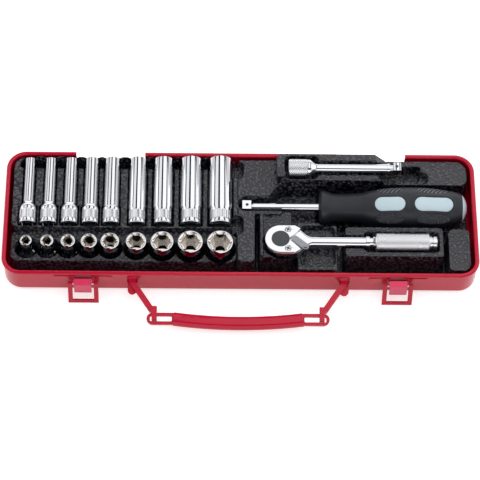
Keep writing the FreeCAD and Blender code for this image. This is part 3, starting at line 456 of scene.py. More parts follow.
@dataclass(frozen=True)
class Finish:
    """A surface finish that builds its material once."""

    name: str
    colour: str
    roughness: float
    metallic: float = 0.0
    shade: str = ""
    settings: tuple[tuple[str, float], ...] = ()
    clouds: tuple[Cloud, ...] = ()

    def material(self) -> bpy.types.Material:
        """Build the material, or find it again.

        Returns:
            The material.
        """
        known = bpy.data.materials.get(self.name)
        if known:
            return known
        material = bpy.data.materials.new(self.name)
        material.use_nodes = True
        tree = material.node_tree
        shader = tree.nodes["Principled BSDF"]
        shader.inputs["Base Color"].default_value = to_linear(self.colour)
        for target, value in (("Roughness", self.roughness), ("Metallic", self.metallic), *self.settings):
            shader.inputs[target].default_value = value
        self.dress(tree, shader, add_node(tree, "ShaderNodeTexCoord").outputs["Object"])
        return material

    def dress(self, tree: bpy.types.NodeTree, shader: bpy.types.Node, place: bpy.types.NodeSocket) -> None:
        """Add the finish's clouds.

        Args:
            tree: The material's nodes.
            shader: Its surface shader.
            place: Object coordinates in metres.
        """
        for cloud in self.clouds:
            noise = add_node(tree, "ShaderNodeTexNoise", None,
                             {"Vector": place, "Scale": per_mm(cloud.size), "Detail": cloud.detail}).outputs["Fac"]
            if cloud.tints:
                add_node(tree, "ShaderNodeMix", {"data_type": "RGBA"},
                         {"Factor": noise, 6: to_linear(self.colour), 7: to_linear(self.shade)},
                         {2: shader.inputs["Base Color"]})
            if cloud.rough:
                low, high = cloud.rough
                add_node(tree, "ShaderNodeMapRange", None,
                         {"Value": noise, "To Min": self.roughness * low, "To Max": self.roughness * high},
                         {"Result": shader.inputs["Roughness"]})
            if cloud.relief:
                strength, height = cloud.relief
                add_node(tree, "ShaderNodeBump", None,
                         {"Height": noise, "Strength": strength, "Distance": height * MM},
                         {"Normal": shader.inputs["Normal"]})


@dataclass(frozen=True)
class BakedEnamel(Finish):
    """Baked enamel, sprayed on drawn steel: a deep even colour under a wet gloss, with a faint orange peel."""

    settings: tuple[tuple[str, float], ...] = (("Specular IOR Level", 0.3),)
    clouds: tuple[Cloud, ...] = (Cloud(45.0, 2.0, tints=True), Cloud(1.8, 1.0, relief=(0.12, 0.08)))


@dataclass(frozen=True)
class FormedSheet(Finish):
    """Vacuum-formed ABS sheet with a leather grain rolled in: black, with each pebble's top painted grey as a painted
    glint.

    The real pebbles are about 0.6 mm across. They are drawn at 2.2 mm, the finest that shows at this size.
    """

    settings: tuple[tuple[str, float], ...] = (("IOR", 1.6),)
    pebble: float = 2.2
    wander: float = 0.00035
    top_and_foot: tuple[float, float] = (0.26, 0.58)
    height: float = 0.5
    glints: tuple[float, float] = (0.26, 0.4)

    def dress(self, tree: bpy.types.NodeTree, shader: bpy.types.Node, place: bpy.types.NodeSocket) -> None:
        """Raise the pebbles: each is a cell of places bent by a noise, high near its middle and low at its border.

        Args:
            tree: The material's nodes.
            shader: Its surface shader.
            place: Object coordinates in metres.
        """
        scale = per_mm(self.pebble)
        top, foot = self.top_and_foot
        bend = add_node(tree, "ShaderNodeTexNoise", None, {"Vector": place, "Scale": scale, "Detail": 2.0})
        moved = add_node(tree, "ShaderNodeMix", {"data_type": "VECTOR"},
                         {"Factor": self.wander, 4: place, 5: bend.outputs["Color"]})
        cells = add_node(tree, "ShaderNodeTexVoronoi", {"feature": "SMOOTH_F1"},
                         {"Vector": moved.outputs[1], "Scale": scale, "Smoothness": 0.2})
        rise = add_node(tree, "ShaderNodeMapRange", None,
                        {"Value": cells.outputs["Distance"], "From Min": top, "From Max": foot, "To Min": 1.0,
                         "To Max": 0.0}).outputs["Result"]
        add_node(tree, "ShaderNodeBump", None, {"Height": rise, "Strength": 1.0, "Distance": self.height * MM},
                 {"Normal": shader.inputs["Normal"]})
        # Each pebble's top is tinted towards the grey shade: a painted glint.
        add_node(tree, "ShaderNodeMix", {"data_type": "RGBA"},
                 {"Factor": rise, 6: to_linear(self.colour), 7: to_linear(self.shade)},
                 {2: shader.inputs["Base Color"]})
        add_node(tree, "ShaderNodeMapRange", None,
                 {"Value": bend.outputs["Fac"], "To Min": self.glints[0], "To Max": self.glints[1]},
                 {"Result": shader.inputs["Roughness"]})


@dataclass(frozen=True)
class ChromePlate(Finish):
    """Nickel-chrome plate on polished steel: a near mirror, dulled a little by handling."""

    metallic: float = 1.0
    clouds: tuple[Cloud, ...] = (Cloud(9.0, 4.0, rough=(0.6, 1.5)),)


@dataclass(frozen=True)
class BroachedSteel(Finish):
    """Steel broached to size and left with an oily plate: warm, half dull, with a fine unevenness."""

    metallic: float = 1.0
    clouds: tuple[Cloud, ...] = (Cloud(0.6, 3.0, tints=True, relief=(0.15, 0.05)),)


@dataclass(frozen=True)
class BlackOxide(Finish):
    """Heat-treated steel with a black oxide: dark grey, satin, mottled where the oil dried."""

    clouds: tuple[Cloud, ...] = (Cloud(1.6, 4.0, tints=True, rough=(0.8, 1.2)),)


@dataclass(frozen=True)
class SoftGrip(Finish):
    """Moulded thermoplastic rubber: charcoal and matte, with a fine spark-eroded mould texture."""

    settings: tuple[tuple[str, float], ...] = (("IOR", 1.48),)
    clouds: tuple[Cloud, ...] = (Cloud(0.45, 3.0, relief=(0.25, 0.06)), Cloud(14.0, 3.0, rough=(0.85, 1.1)))


@dataclass(frozen=True)
class MouldedInlay(Finish):
    """Injection-moulded polypropylene: pale, smooth and half glossy, with a faint flow cloudiness."""

    settings: tuple[tuple[str, float], ...] = (("IOR", 1.49),)
    clouds: tuple[Cloud, ...] = (Cloud(11.0, 2.0, tints=True),)


@dataclass(frozen=True)
class ZincPlate(Finish):
    """Bright zinc on drawn wire: pale grey, half glossy, slightly cloudy."""

    metallic: float = 1.0
    clouds: tuple[Cloud, ...] = (Cloud(2.5, 3.0, rough=(0.7, 1.3)),)


@dataclass(frozen=True)
class PaperSweep(Finish):
    """Seamless studio paper: pale and matte, and white to rays that show it but for the object's shadow."""

    lift: float = 0.6

    def dress(self, tree: bpy.types.NodeTree, shader: bpy.types.Node, place: bpy.types.NodeSocket) -> None:
        """Lift the paper towards white where it is seen.

        Args:
            tree: The material's nodes.
            shader: Its surface shader.
            place: Object coordinates in metres, not used here.
        """
        shader.inputs["Emission Color"].default_value = to_linear("#FFFFFF")
        add_node(tree, "ShaderNodeMath", {"operation": "MULTIPLY"}, {0: background_rays(tree), 1: self.lift},
                 {0: shader.inputs["Emission Strength"]})


ENAMEL = BakedEnamel("baked_enamel_crimson", "#C90F36", 0.16, shade="#BE0B2E")
# The levers get a lighter pink copy of the enamel: a painted highlight for the light that their tilted faces catch.
LEVER_ENAMEL_PAINTED_HIGHLIGHT = BakedEnamel("baked_enamel_painted_highlight", "#E03C63", 0.2, shade="#D83058")
SHEET = FormedSheet("formed_sheet_black", "#04050F", 0.42, shade="#44454E")
CHROME = ChromePlate("chrome_plate_polished", "#CCCDD1", 0.05)
SATIN = ChromePlate("chrome_plate_satin", "#D2D3D6", 0.28)
BROACHED = BroachedSteel("broached_steel", "#DEDAD5", 0.2, shade="#C9C2BA")
# Besides the real black oxide parts, this finish darkens the sockets' drive squares, the detent balls and the screws'
# recesses as painted shade.
OXIDE_AND_PAINTED_SHADE = BlackOxide("black_oxide_and_painted_shade", "#3E4043", 0.42, 0.5, "#4A4C50")
PHOSPHATE = BlackOxide("phosphate_steel", "#7E8085", 0.3, 0.85, "#93959A")
RUBBER = SoftGrip("moulded_rubber_charcoal", "#191C24", 0.5)
# The pale rubber on the tops of the dots and ribs is a painted highlight.
TIP_HIGHLIGHT = SoftGrip("moulded_rubber_painted_highlight", "#5A5E66", 0.4)
TEXTURE = SoftGrip("moulded_rubber_textured", "#07080C", 0.6)
INLAY = MouldedInlay("moulded_inlay_pale", "#CBDEE6", 0.32, shade="#BFD3DC")
ZINC = ZincPlate("zinc_plate_bright", "#C4C6C8", 0.28)
PAPER = PaperSweep("paper_sweep", "#F2F2F2", 0.9)
CLOTH = Finish("black_cloth", "#101012", 1.0)


# Sub-assemblies


@dataclass
class SteelCase:
    """The drawn pan with its draw latches and carrying handle, in their own solids' shapes."""

    crease: float = 32.0
    edge: float = 0.22
    link_edge: float = 0.7

    def build(self) -> None:
        """Dress the pan, the latches and the handle."""
        merged_copy("case_pan", "case", ENAMEL, self.crease)
        for side in ("left", "right"):
            lever, bail = "latch_lever_" + side, "latch_bail_" + side
            merged_copy("latch_strap_" + side, "case", ENAMEL, self.crease, self.edge)
            merged_copy(lever, lever, LEVER_ENAMEL_PAINTED_HIGHLIGHT, self.crease, self.edge)
            merged_copy(bail, bail, ENAMEL, self.crease, self.edge)
            merged_copy("latch_bail_pin_" + side, lever, ZINC)
            merged_copy("handle_link_" + side, "handle", ENAMEL, self.crease, self.link_edge)
        merged_copy("latch_lever_pins", "case", ZINC)
        merged_copy("handle_grip", "handle", ENAMEL, self.crease)


# Each socket's name, its hexagon's width across flats, and the diameters of its nose.
SOCKETS = ("05_0", "05_5", "06_0", "07_0", "08_0", "09_0", "10_0", "11_0", "12_0")
HEX_WIDTH = dict(zip(SOCKETS, (5.0, 5.5, 6.0, 7.0, 8.0, 9.0, 10.0, 11.0, 12.0)))
SHORT_DIAMETER = dict(zip(SOCKETS, (7.8, 8.6, 9.5, 10.7, 12.2, 13.4, 15.0, 16.4, 17.0)))
DEEP_DIAMETER = dict(zip(SOCKETS, (7.6, 8.1, 8.8, 9.9, 11.0, 12.2, 13.6, 15.0, 16.2)))


@dataclass(frozen=True)
class Outline:
    """A round-cornered rectangle in plan."""

    low: tuple[float, float]
    high: tuple[float, float]
    radius: float

    def away(self, x: Array, y: Array) -> Array:
        """Signed distance of each point from the outline, negative inside.

        The point is folded into one corner, measured from that corner's arc centre, and the radius is taken off.

        Args:
            x: Plan X of each point.
            y: Plan Y of each point.

        Returns:
            The distance of each point.
        """
        low, high = self.low, self.high
        r = min(self.radius, 0.5 * (high[0] - low[0]), 0.5 * (high[1] - low[1]))
        qx = np.abs(x - 0.5 * (low[0] + high[0])) - 0.5 * (high[0] - low[0]) + r
        qy = np.abs(y - 0.5 * (low[1] + high[1])) - 0.5 * (high[1] - low[1]) + r
        outside = np.hypot(np.maximum(qx, 0.0), np.maximum(qy, 0.0))
        return outside + np.minimum(np.maximum(qx, qy), 0.0) - r


def press(form: Array, floor: Array | float, away: Array, wall: float) -> Array:
    """Press a pocket into a form: its wall falls to its floor as a smooth step of the distance from its outline."""
    return np.where(form > floor, floor + (form - floor) * ease((away + 0.5 * wall) / wall), form)


@dataclass
class FormedTray:
    """The thermoformed tray, as one height over the plan with drafted walls and round edges."""

    half_width: float = 151.5
    half_depth: float = 42.5
    base: float = 1.2
    underside: float = 1.18
    floor: float = 2.4
    corner: float = 9.0
    corner_fold: float = 0.71
    draft: float = 1.5
    edge: float = 0.5
    deep_deck: float = 23.8
    short_deck: float = 18.5
    plateau: float = 22.5
    boss_top: float = 31.0
    boss_front: float = 26.6
    boss_end: float = 97.0
    boss_slope: float = 1.1
    lip_height: float = 1.5
    lip_width: float = 1.4
    lip_ends: tuple[float, float] = (-144.0, -7.0)
    tip_step: float = 10.4
    tip_well: float = 8.0
    well_front: float = 8.3
    well_back: float = 22.4
    flare_start: tuple[float, float] = (18.8, 13.3)
    flare_slope: float = 0.73
    flare_end: float = 34.0
    platform: float = 20.5
    shelf_top: float = 20.0
    grip_block: float = 22.6
    side_plateau: float = 21.0
    head_centre: tuple[float, float] = (26.0, -20.4)
    head_seat: float = 15.2
    head_radius: float = 11.0
    head_end: float = 44.0
    drive_hole: float = 5.4
    drive_wall: float = 0.8
    trough_axis: float = 22.5
    trough_gap: float = 0.3
    trough_end: float = 0.9
    trough_lap: tuple[float, float] = (13.0, 14.0)
    trough_flank: float = 5.0
    trough_wall: float = 1.0
    standing_row: float = -24.45
    standing_gap: float = 1.4
    standing_wall: float = 1.2
    crease: float = 45.0
    columns: int = 552
    rows: int = 148

    def blocks(self, x: Array, y: Array) -> Array:
        """The raised blocks: each wall climbs as a smooth step of the distance from the block's outline.

        Args:
            x: Plan X.
            y: Plan Y.

        Returns:
            Height of the form before its pockets.
        """
        wide, back = self.half_width, self.half_depth
        z = np.full_like(x, self.floor)
        slope = np.minimum(self.boss_top, self.plateau + (self.boss_end - x) * self.boss_slope)
        for outline, top in (
            (Outline((-wide, -12.7), (-1.75, back), 6.0), self.deep_deck),  # deep sockets' deck
            (Outline((-wide, -35.1), (-1.75, -11.0), 6.0), self.short_deck),  # standing sockets' deck
            (Outline((-3.0, -0.45), (28.0, back), 3.0), self.plateau),  # round the spinner's tip
            (Outline((-3.0, -36.3), (9.7, 3.0), 3.0), self.plateau),  # left of the ratchet's head
            (Outline((92.0, 22.3), (wide, back), 7.0), self.plateau),  # round the bar's tip
            (Outline((16.0, -8.8), (51.8, 28.0), 2.0), self.tip_step),  # under the spinner's shaft
            (Outline((11.9, -32.3), (34.3, 4.4), 2.0), self.platform),  # under the ratchet's head
            (Outline((11.9, -32.3), (15.5, 4.4), 1.0), self.plateau),  # that platform's left wall
            (Outline((37.0, -41.2), (64.0, -4.0), 2.0), self.shelf_top),  # under the ratchet's neck
            (Outline((68.0, -32.2), (133.7, -8.8), 3.0), self.grip_block),  # under the ratchet's sleeve
            (Outline((135.9, -41.5), (wide, -8.8), 4.0), self.side_plateau),  # at the right end
            (Outline((23.2, 23.35), (99.0, back), 3.0), np.minimum(slope, self.boss_front)),  # bar's boss, its front
            (Outline((23.2, 23.35), (30.5, back), 3.0), slope),  # the boss's left end
            (Outline((23.2, 36.0), (99.0, back), 3.0), slope),  # the boss's back
        ):
            wall = ease((0.5 * self.draft - outline.away(x, y)) / self.draft)
            z = np.maximum(z, self.base + (top - self.base) * wall)
        # A narrow lip stands along the back of the deep sockets' deck.
        left, right = self.lip_ends
        lip = ease((y - back + self.lip_width) / 0.3) * ease((right - x) / 3.0) * ease((x - left) / 3.0)
        return z + self.lip_height * lip

    def pockets(self, x: Array, y: Array, z: Array) -> Array:
        """The finger wells and the pockets for the three long tools.

        Args:
            x: Plan X.
            y: Plan Y.
            z: The form before its pockets.

        Returns:
            The form with them.
        """
        for outline, floor in (
            (Outline((-146.2, 34.1), (-5.1, 40.6), 2.0), 14.3),  # well behind the deep sockets
            (Outline((-6.0, 27.6), (1.4, 40.6), 4.3), 16.0),  # back notch in the deck's right end
            (Outline((-6.0, -15.0), (1.4, -2.0), 4.3), 16.0),  # front notch there
            (Outline((29.8, 25.7), (51.1, 39.7), 3.0), 21.6),  # bar's head
            (Outline((46.6, 28.8), (97.0, 36.6), 0.9), 24.7),  # bar's shaft
            (Outline((92.2, 28.8), (119.6, 37.5), 2.0), 13.4),  # bar's tip
            (Outline((92.2, 24.5), (124.2, 32.7), 3.2), 17.3),  # finger well at the bar's tip
            (Outline((-1.2, 3.2), (52.7, 13.3), 4.6), 14.3),  # spinner's shaft
            (Outline((27.0, self.well_front), (52.7, self.well_back), 4.3), self.tip_well),  # well behind that shaft
            (Outline((50.9, -6.4), (152.9, 23.0), 5.0), 3.7),  # spinner's grip
            (Outline((35.5, -24.8), (88.3, -16.0), 0.9), 18.2),  # ratchet's neck
            (Outline((81.5, -27.4), (129.8, -13.4), 2.0), 15.6),  # ratchet's sleeve
            (Outline((39.4, -37.7), (61.6, -7.4), 4.3), 15.0),  # finger well across the neck
            (Outline((81.0, -25.6), (90.0, -15.2), 2.0), 16.4),  # ratchet's collars
        ):
            z = press(z, floor, outline.away(x, y), self.draft)
        # The tip's slot opens into the finger well along a slanted edge.
        flare_x, flare_y = self.flare_start
        flare = np.maximum(flare_x + (y - flare_y) * self.flare_slope - x,
                           np.maximum(y - self.well_back, x - self.flare_end))
        z = np.where(y > self.well_front, press(z, self.tip_well, flare, self.draft), z)
        # The head lies in a round-nosed seat with a hole for the drive square.
        head_x, head_y = self.head_centre
        centre = np.hypot(x - head_x, y - head_y)
        seat = np.where(x < head_x, centre, np.abs(y - head_y)) - self.head_radius
        z = press(z, self.head_seat, np.maximum(seat, x - self.head_end), self.draft)
        return press(z, self.floor, centre - self.drive_hole, self.drive_wall)

    def socket_seats(self, x: Array, y: Array, z: Array) -> Array:
        """The troughs of the deep sockets and the holes of the standing ones.

        A trough's floor is the axis height less the root of the radius squared less the offset squared.

        Args:
            x: Plan X.
            y: Plan Y.
            z: The form so far.

        Returns:
            The form with them.
        """
        for name in SOCKETS:
            low, high = node_box("deep_socket_" + name)
            centre = 0.5 * (low[0] + high[0])
            offset = np.abs(x - centre)
            # The drive end lies in one trough and the nose in another, which overlap.
            nose_start, drive_end = low[1] + np.array(self.trough_lap)
            for width, start, end in ((high[0] - low[0], low[1] - self.trough_end, drive_end),
                                      (DEEP_DIAMETER[name], nose_start, high[1] + self.trough_end)):
                radius = 0.5 * width + self.trough_gap
                dip = np.sqrt(np.maximum(radius ** 2 - offset ** 2, 0.0))
                floor = self.trough_axis - dip + self.trough_flank * np.maximum(offset - radius, 0.0)
                z = press(z, floor, np.maximum(start - y, y - end), self.trough_wall)
            low, high = node_box("socket_" + name)
            reach = max(0.5 * (high[0] - low[0]), 0.5 * Socket.drive_end) + self.standing_gap
            away = np.hypot(x - centre, y - self.standing_row) - reach
            z = press(z, self.floor, away, self.standing_wall)
        return z

    def build(self) -> None:
        """Make the tray's surface, with a short skirt and a flat underside that close it, and dress it."""
        wide, deep = self.half_width, self.half_depth
        # The lines lie closer along the front edge and along the lip at the back.
        lines = np.concatenate((np.linspace(-deep, 0.8 - deep, 4), np.linspace(1.3 - deep, deep - 2.2, self.rows),
                                np.linspace(deep - 1.8, deep, 8)))
        x, y = np.meshgrid(np.linspace(-wide, wide, self.columns), lines)
        z = self.socket_seats(x, y, self.pockets(x, y, self.blocks(x, y)))
        rim = Outline((-wide, -deep), (wide, deep), self.corner).away(x, y)
        z = self.base + (z - self.base) * ease(-rim / self.edge)
        # The four corners outside the sheet fold onto its round corner.
        pull = np.maximum(rim, 0.0) * self.corner_fold
        top = np.stack((x - np.sign(x) * pull, y - np.sign(y) * pull, z), -1)
        border = np.concatenate((top[0], top[1:, -1], top[-1, -2::-1], top[-2:0:-1, 0]))
        foot = border.copy()
        foot[:, 2] = self.underside
        hub = np.broadcast_to((0.0, 0.0, self.underside), foot.shape)
        closing = np.concatenate((hub, foot, border))
        faces = np.concatenate((grid_faces(*x.shape, wrap_columns=False), grid_faces(3, len(border)) + x.size))
        mesh = mesh_from("formed_tray", np.concatenate((top.reshape(-1, 3), closing)), faces, self.crease)
        add_piece("formed_tray", mesh, [SHEET], "case", ["tool_tray"])


class Reach(Enum):
    """The two kinds of socket: its node's prefix, its length, its drive end's length and its hexagon's depth."""

    STANDARD = ("socket_", 25.0, 10.0, 11.0)
    DEEP = ("deep_socket_", 50.0, 11.4, 20.0)


@dataclass
class Socket:
    """One socket: a bored and broached surface of revolution that closes on itself."""

    name: str
    reach: Reach
    drive_end: float = 11.7
    relief: float = 1.2
    drive_hole: float = 6.5
    drive_depth: float = 9.0
    bore: float = 2.3
    widest_bore: float = 3.2
    edge: float = 0.55
    lead_slope: float = 0.577
    flutes: int = 24
    flute_depth: float = 0.22
    flute_span: tuple[float, float] = (2.6, 9.8)
    flute_end: float = 0.5
    crease: float = 36.0
    angles: int = 144

    def diameter(self) -> float:
        """Diameter of the nose."""
        return (DEEP_DIAMETER if self.reach is Reach.DEEP else SHORT_DIAMETER)[self.name]

    def mouth_radius(self) -> float:
        """Radius at which the mouth's lead-in starts, inside a narrow rim."""
        nose = 0.5 * self.diameter()
        return min(max(HEX_WIDTH[self.name] / math.sqrt(3.0) + 0.15, nose - 0.75), nose - 0.45)

    def outside(self) -> list[Station]:
        """The outside: a drive end with broken edges, a smooth step to the nose, and the nose's round edge.

        Returns:
            Its stations, from the drive face to the rim of the mouth.
        """
        _, length, band, _ = self.reach.value
        nose, edge = 0.5 * self.diameter(), self.edge
        drive = 0.5 * max(self.drive_end, self.diameter() - self.relief)
        flare = band + 2.5 * abs(drive - nose) + 0.4
        ridge = np.linspace(self.flute_span[0], band - 1.6, 15) if self.reach is Reach.DEEP else (band * 0.5,)
        rows = [(0.0, drive - 0.7), (0.25, drive - 0.25), (0.7, drive)] + [(t, drive) for t in ridge]
        rows += [(band + (flare - band) * t, drive + (nose - drive) * ease(t)) for t in np.linspace(0.0, 1.0, 7)]
        rows += [(length - edge, nose), (length - 0.28 * edge, nose - 0.12 * edge), (length, nose - 0.75 * edge)]
        return round_stations(rows)

    def inside(self) -> list[Station]:
        """The inside: a lead-in, the hexagon, a bore and the drive square.

        Returns:
            Its stations, from the mouth back to the drive face.
        """
        _, length, _, depth = self.reach.value
        flats, mouth, square = HEX_WIDTH[self.name], self.mouth_radius(), self.drive_hole
        bore = max(self.bore, min(self.widest_bore, 0.5 * flats - 0.5))
        lead = self.lead_slope * (mouth - 0.5 * flats)
        return [(length, Section.ROUND, mouth), (length - lead, Section.HEX, flats),
                (length - depth, Section.HEX, flats), (length - depth, Section.ROUND, bore),
                (self.drive_depth, Section.ROUND, bore), (self.drive_depth, Section.SQUARE, square),
                (0.35, Section.SQUARE, square), (0.0, Section.SQUARE, square + 0.5)]

    def build(self) -> None:
        """Make the socket's surface and dress it."""
        node = self.reach.value[0] + self.name
        axis = Along.Y if self.reach is Reach.DEEP else Along.Z
        main, first, second = axis.value
        origin = axis_start(node, axis)
        theta = ring_angles(self.angles)
        outside = self.outside()
        along, radius = read_stations(outside + self.inside(), theta)
        if self.reach is Reach.DEEP:
            # Straight flutes between two plain rings: the radius dips by a cosine of the angle.
            start, end = self.flute_span
            fluted = ease((along - start) / self.flute_end) * ease((end - along) / self.flute_end)
            fluted[len(outside):] = 0.0
            dip = self.flute_depth * (1.0 - np.cos(self.flutes * theta)) * 0.5
            radius = radius - fluted[:, None] * dip
        points = revolve(along, radius, theta, origin, axis)
        mesh = mesh_from(node + "_dressed", points, grid_faces(len(along), self.angles, True), self.crease)
        # The hexagon and its bore are bright from the broach. The drive square, whose corners lie 0.71 of its width
        # from the axis, is given the dark oxide as painted shade, for the shade deep in the hole.
        centre = face_centres(mesh) - origin
        distance = np.hypot(centre[:, first], centre[:, second])
        inner = (distance < self.mouth_radius() - 0.02) & (centre[:, main] < along.max() - 0.05)
        drive = (distance < 0.72 * self.drive_hole) & (centre[:, main] < self.drive_depth + 0.05)
        inner &= drive | (centre[:, main] > self.drive_depth)
        mesh.polygons.foreach_set("material_index", inner.astype(np.int32) + (inner & drive))
        add_piece(node + "_dressed", mesh, [CHROME, BROACHED, OXIDE_AND_PAINTED_SHADE], node, [node])


@dataclass
class ExtensionBar:
    """The extension bar: knurled head with a square hole, slim shaft, collar and drive square."""

    length: float = 75.0
    head_radius: float = 6.05
    head_length: float = 15.0
    taper: float = 4.5
    taper_lap: float = 1.4
    shaft_radius: float = 2.95
    collar: float = 0.35
    neck_radius: float = 2.3
    tip_length: float = 7.2
    square: float = 6.35
    hole: float = 6.5
    hole_depth: float = 9.0
    knurl_span: tuple[float, float] = (0.8, 12.4)
    knurl_depth: float = 0.2
    pitch: float = 1.25
    crease: float = 55.0
    angles: int = 180

    def outside(self) -> list[Station]:
        """The outside: head, a smooth step to the shaft, a collar, a neck and the drive square.

        Returns:
            Its stations, from the hole's face to the tip.
        """
        head, shaft, square = self.head_radius, self.shaft_radius, self.square
        end, tip = self.length, self.length - self.tip_length
        lap, edge = self.taper_lap, head - 0.1
        rows = [(0.0, head - 0.7), (0.3, head - 0.2)] + [(t, head) for t in np.linspace(*self.knurl_span, 72)]
        rows += [(12.7, head - 0.35), (13.1, edge)]
        rows += [(self.head_length - lap + (self.taper + lap) * t, edge + (shaft - head + 0.1) * ease(t))
                 for t in np.linspace(0.0, 1.0, 9)]
        rows += [(tip - 2.2, shaft), (tip - 2.1, shaft + self.collar), (tip - 0.5, shaft + self.collar),
                 (tip - 0.3, self.neck_radius), (tip + 1.7, self.neck_radius)]
        return round_stations(rows) + [
            (tip + 2.0, Section.SQUARE, square - 0.8), (tip + 2.3, Section.SQUARE, square),
            (end - 0.5, Section.SQUARE, square), (end, Section.SQUARE, square - 1.0), (end, Section.ROUND, 0.0)]

    def build(self) -> None:
        """Make the bar's surface and dress it."""
        theta = ring_angles(self.angles)
        hole = [(self.hole_depth, Section.ROUND, 0.0), (self.hole_depth, Section.SQUARE, self.hole),
                (0.3, Section.SQUARE, self.hole), (0.0, Section.SQUARE, self.hole + 0.5)]
        along, radius = read_stations(hole + self.outside(), theta)
        cut = (along >= self.knurl_span[0]) & (along <= self.knurl_span[1])
        cut[:len(hole)] = False
        radius = radius + cut[:, None] * knurl(along[:, None], theta, self.head_radius, self.pitch, self.knurl_depth)
        points = revolve(along, radius, theta, axis_start("extension_bar", Along.X), Along.X)
        mesh = mesh_from("extension_bar_dressed", points, grid_faces(len(along), self.angles), self.crease)
        add_piece("extension_bar_dressed", mesh, [CHROME], "extension", ["extension_bar"])
        # The detent ball gets the dark oxide as painted shade, for the dark gap that rings it in its hole.
        merged_copy("extension_ball", "extension", OXIDE_AND_PAINTED_SHADE, crease=60.0)


@dataclass
class SpinnerHandle:
    """The spinner: a shaft with a drive square, a soft grip with two windows, and the pale core that shows in them."""

    length: float = 149.6
    start: float = 51.2
    cap: float = 3.6
    nose: float = 9.8
    nose_chamfer: float = 1.1
    belly: float = 13.8
    tail: float = 9.3
    shaft_radius: float = 2.95
    shaft_depth: float = 12.0
    square: float = 6.35
    tip: float = 6.6
    tip_neck: float = 2.5
    tilt: float = 17.0
    lip: float = 1.4
    flat_depth: float = 0.4
    inlay_half: float = 4.9
    inlay_depth: float = 0.28
    inlays: tuple[tuple[float, float], ...] = ((87.6, 107.8), (113.8, 139.6))
    window_depth: float = 0.8
    window_bead: float = 0.25
    patch_depth: float = 0.4
    patch_rise: float = 0.5
    patch_share: float = 0.46
    dot_pitch: float = 2.1
    dot_patch: tuple[float, float] = (10.8, 4.6)
    rib_pitch: float = 2.3
    rib_patch: tuple[float, float] = (-12.6, 4.8)
    angles: int = 232
    rows: int = 250
    shaft_angles: int = 96
    core_angles: int = 72

    def arc(self, s: Array, first: Sequence[float], second: Sequence[float], third: Sequence[float]) -> Array:
        """Radius along an arc through three points, from the circle's centre and radius.

        Args:
            s: Distances along the handle.
            first: Distance and radius of the first point.
            second: Those of a point between.
            third: Those of the last point.

        Returns:
            The radius at each distance.
        """
        rows = np.array((first, second, third), float)
        terms = np.column_stack((2.0 * rows, np.ones(3)))
        cx, cy, k = np.linalg.solve(terms, (rows ** 2).sum(1))
        size = math.sqrt(k + cx * cx + cy * cy)
        sign = 1.0 if second[1] > cy else -1.0
        return cy + sign * np.sqrt(np.maximum(size * size - (s - cx) ** 2, 0.0))

    def profile(self, s: Array) -> Array:
        """Radius of the grip: a chamfer, a hollow waist, a full belly and a rounded tail, joined end to end.

        Args:
            s: Distances along the handle.

        Returns:
            The radius at each distance.
        """
        span = self.length - self.cap - self.start
        # Each knot is a share of the grip's length and a radius. An arc runs through each three of them.
        knots = np.array(((0.018, self.nose), (0.16, self.nose - 0.3), (0.3, self.nose + 0.4), (0.6, self.belly),
                          (0.9, self.belly - 2.1), (0.965, self.belly - 3.2), (1.0, self.tail)))
        lip = self.lip * ease((s - self.start) / 1.6) * ease((self.start + 11.0 - s) / 8.0)
        radius = self.nose - self.nose_chamfer + self.nose_chamfer * (s - self.start) / (knots[0, 0] * span)
        knots[:, 0] = self.start + knots[:, 0] * span
        for i in (0, 2, 4):
            radius = np.where(s > knots[i, 0], self.arc(s, *knots[i:i + 3]), radius)
        return radius + lip

    def grip_relief(self, s: Array, phi: Array, radius: Array) -> Array:
        """Change of radius on the grip: thumb flats, sunk windows with a bead round them, and the patches.

        A flat is a hexagon's radius blended with a circle's. A window is a round-ended slot in distance and
        sideways offset, and its bead a bell of the distance from it.

        Args:
            s: Distance along the handle.
            phi: Angle from the windows' middle, positive to the front.
            radius: Radius of the plain grip.

        Returns:
            The change of radius.
        """
        flat = ease((s - self.start - 3.0) / 6.0) * ease((self.start + 36.0 - s) / 8.0)
        away = np.mod(phi + math.pi / 6, math.pi / 3) - math.pi / 6
        change = radius * self.flat_depth * flat * (math.cos(math.pi / 6) / np.cos(away) - 1.0)
        side = radius * np.sin(phi)
        near = np.cos(phi) > 0.0
        for first, last in self.inlays:
            beyond = np.abs(s - 0.5 * (first + last)) - 0.5 * (last - first) + self.inlay_half
            slot = np.hypot(np.maximum(beyond, 0.0), side) - self.inlay_half
            change = change - near * self.window_depth * ease((0.15 - slot) / 0.5)
            change = change + near * self.window_bead * np.exp(-((slot - 0.9) / 0.6) ** 2)
        for inside, raised in self.patches(s, radius * phi):
            change = change + inside * (self.patch_rise * raised - self.patch_depth)
        return change

    def patches(self, s: Array, arc: Array) -> list[tuple[Array, Array]]:
        """The lens-shaped patches beside the inlays: an ellipse in distance and in arc length.

        A dot is the product of two cosines on crossed diagonals, and a rib is a cosine along one diagonal.

        Args:
            s: Distance along the handle.
            arc: Arc length from the inlays' middle, positive to the front.

        Returns:
            For each patch, how far each point is inside it, and how much of a dot or rib stands there.
        """
        pitch = self.dot_pitch
        dots = np.cos(math.pi * (s + 1.6 * arc) / pitch) * np.cos(math.pi * (s - 1.6 * arc) / pitch)
        dots = ease((np.abs(dots) - 0.3) / 0.4)
        ribs = 0.5 + 0.5 * np.cos(FULL_TURN * (s * 0.86 + arc * 0.5) / self.rib_pitch)
        found = []
        for first, last in self.inlays:
            lengthwise = (s - 0.5 * (first + last)) / (self.patch_share * (last - first))
            for (lean, width), raised in ((self.dot_patch, dots), (self.rib_patch, ribs)):
                lens = lengthwise ** 2 + ((arc - lean) / width) ** 2
                found.append((ease((1.0 - lens) / 0.25), raised))
        return found

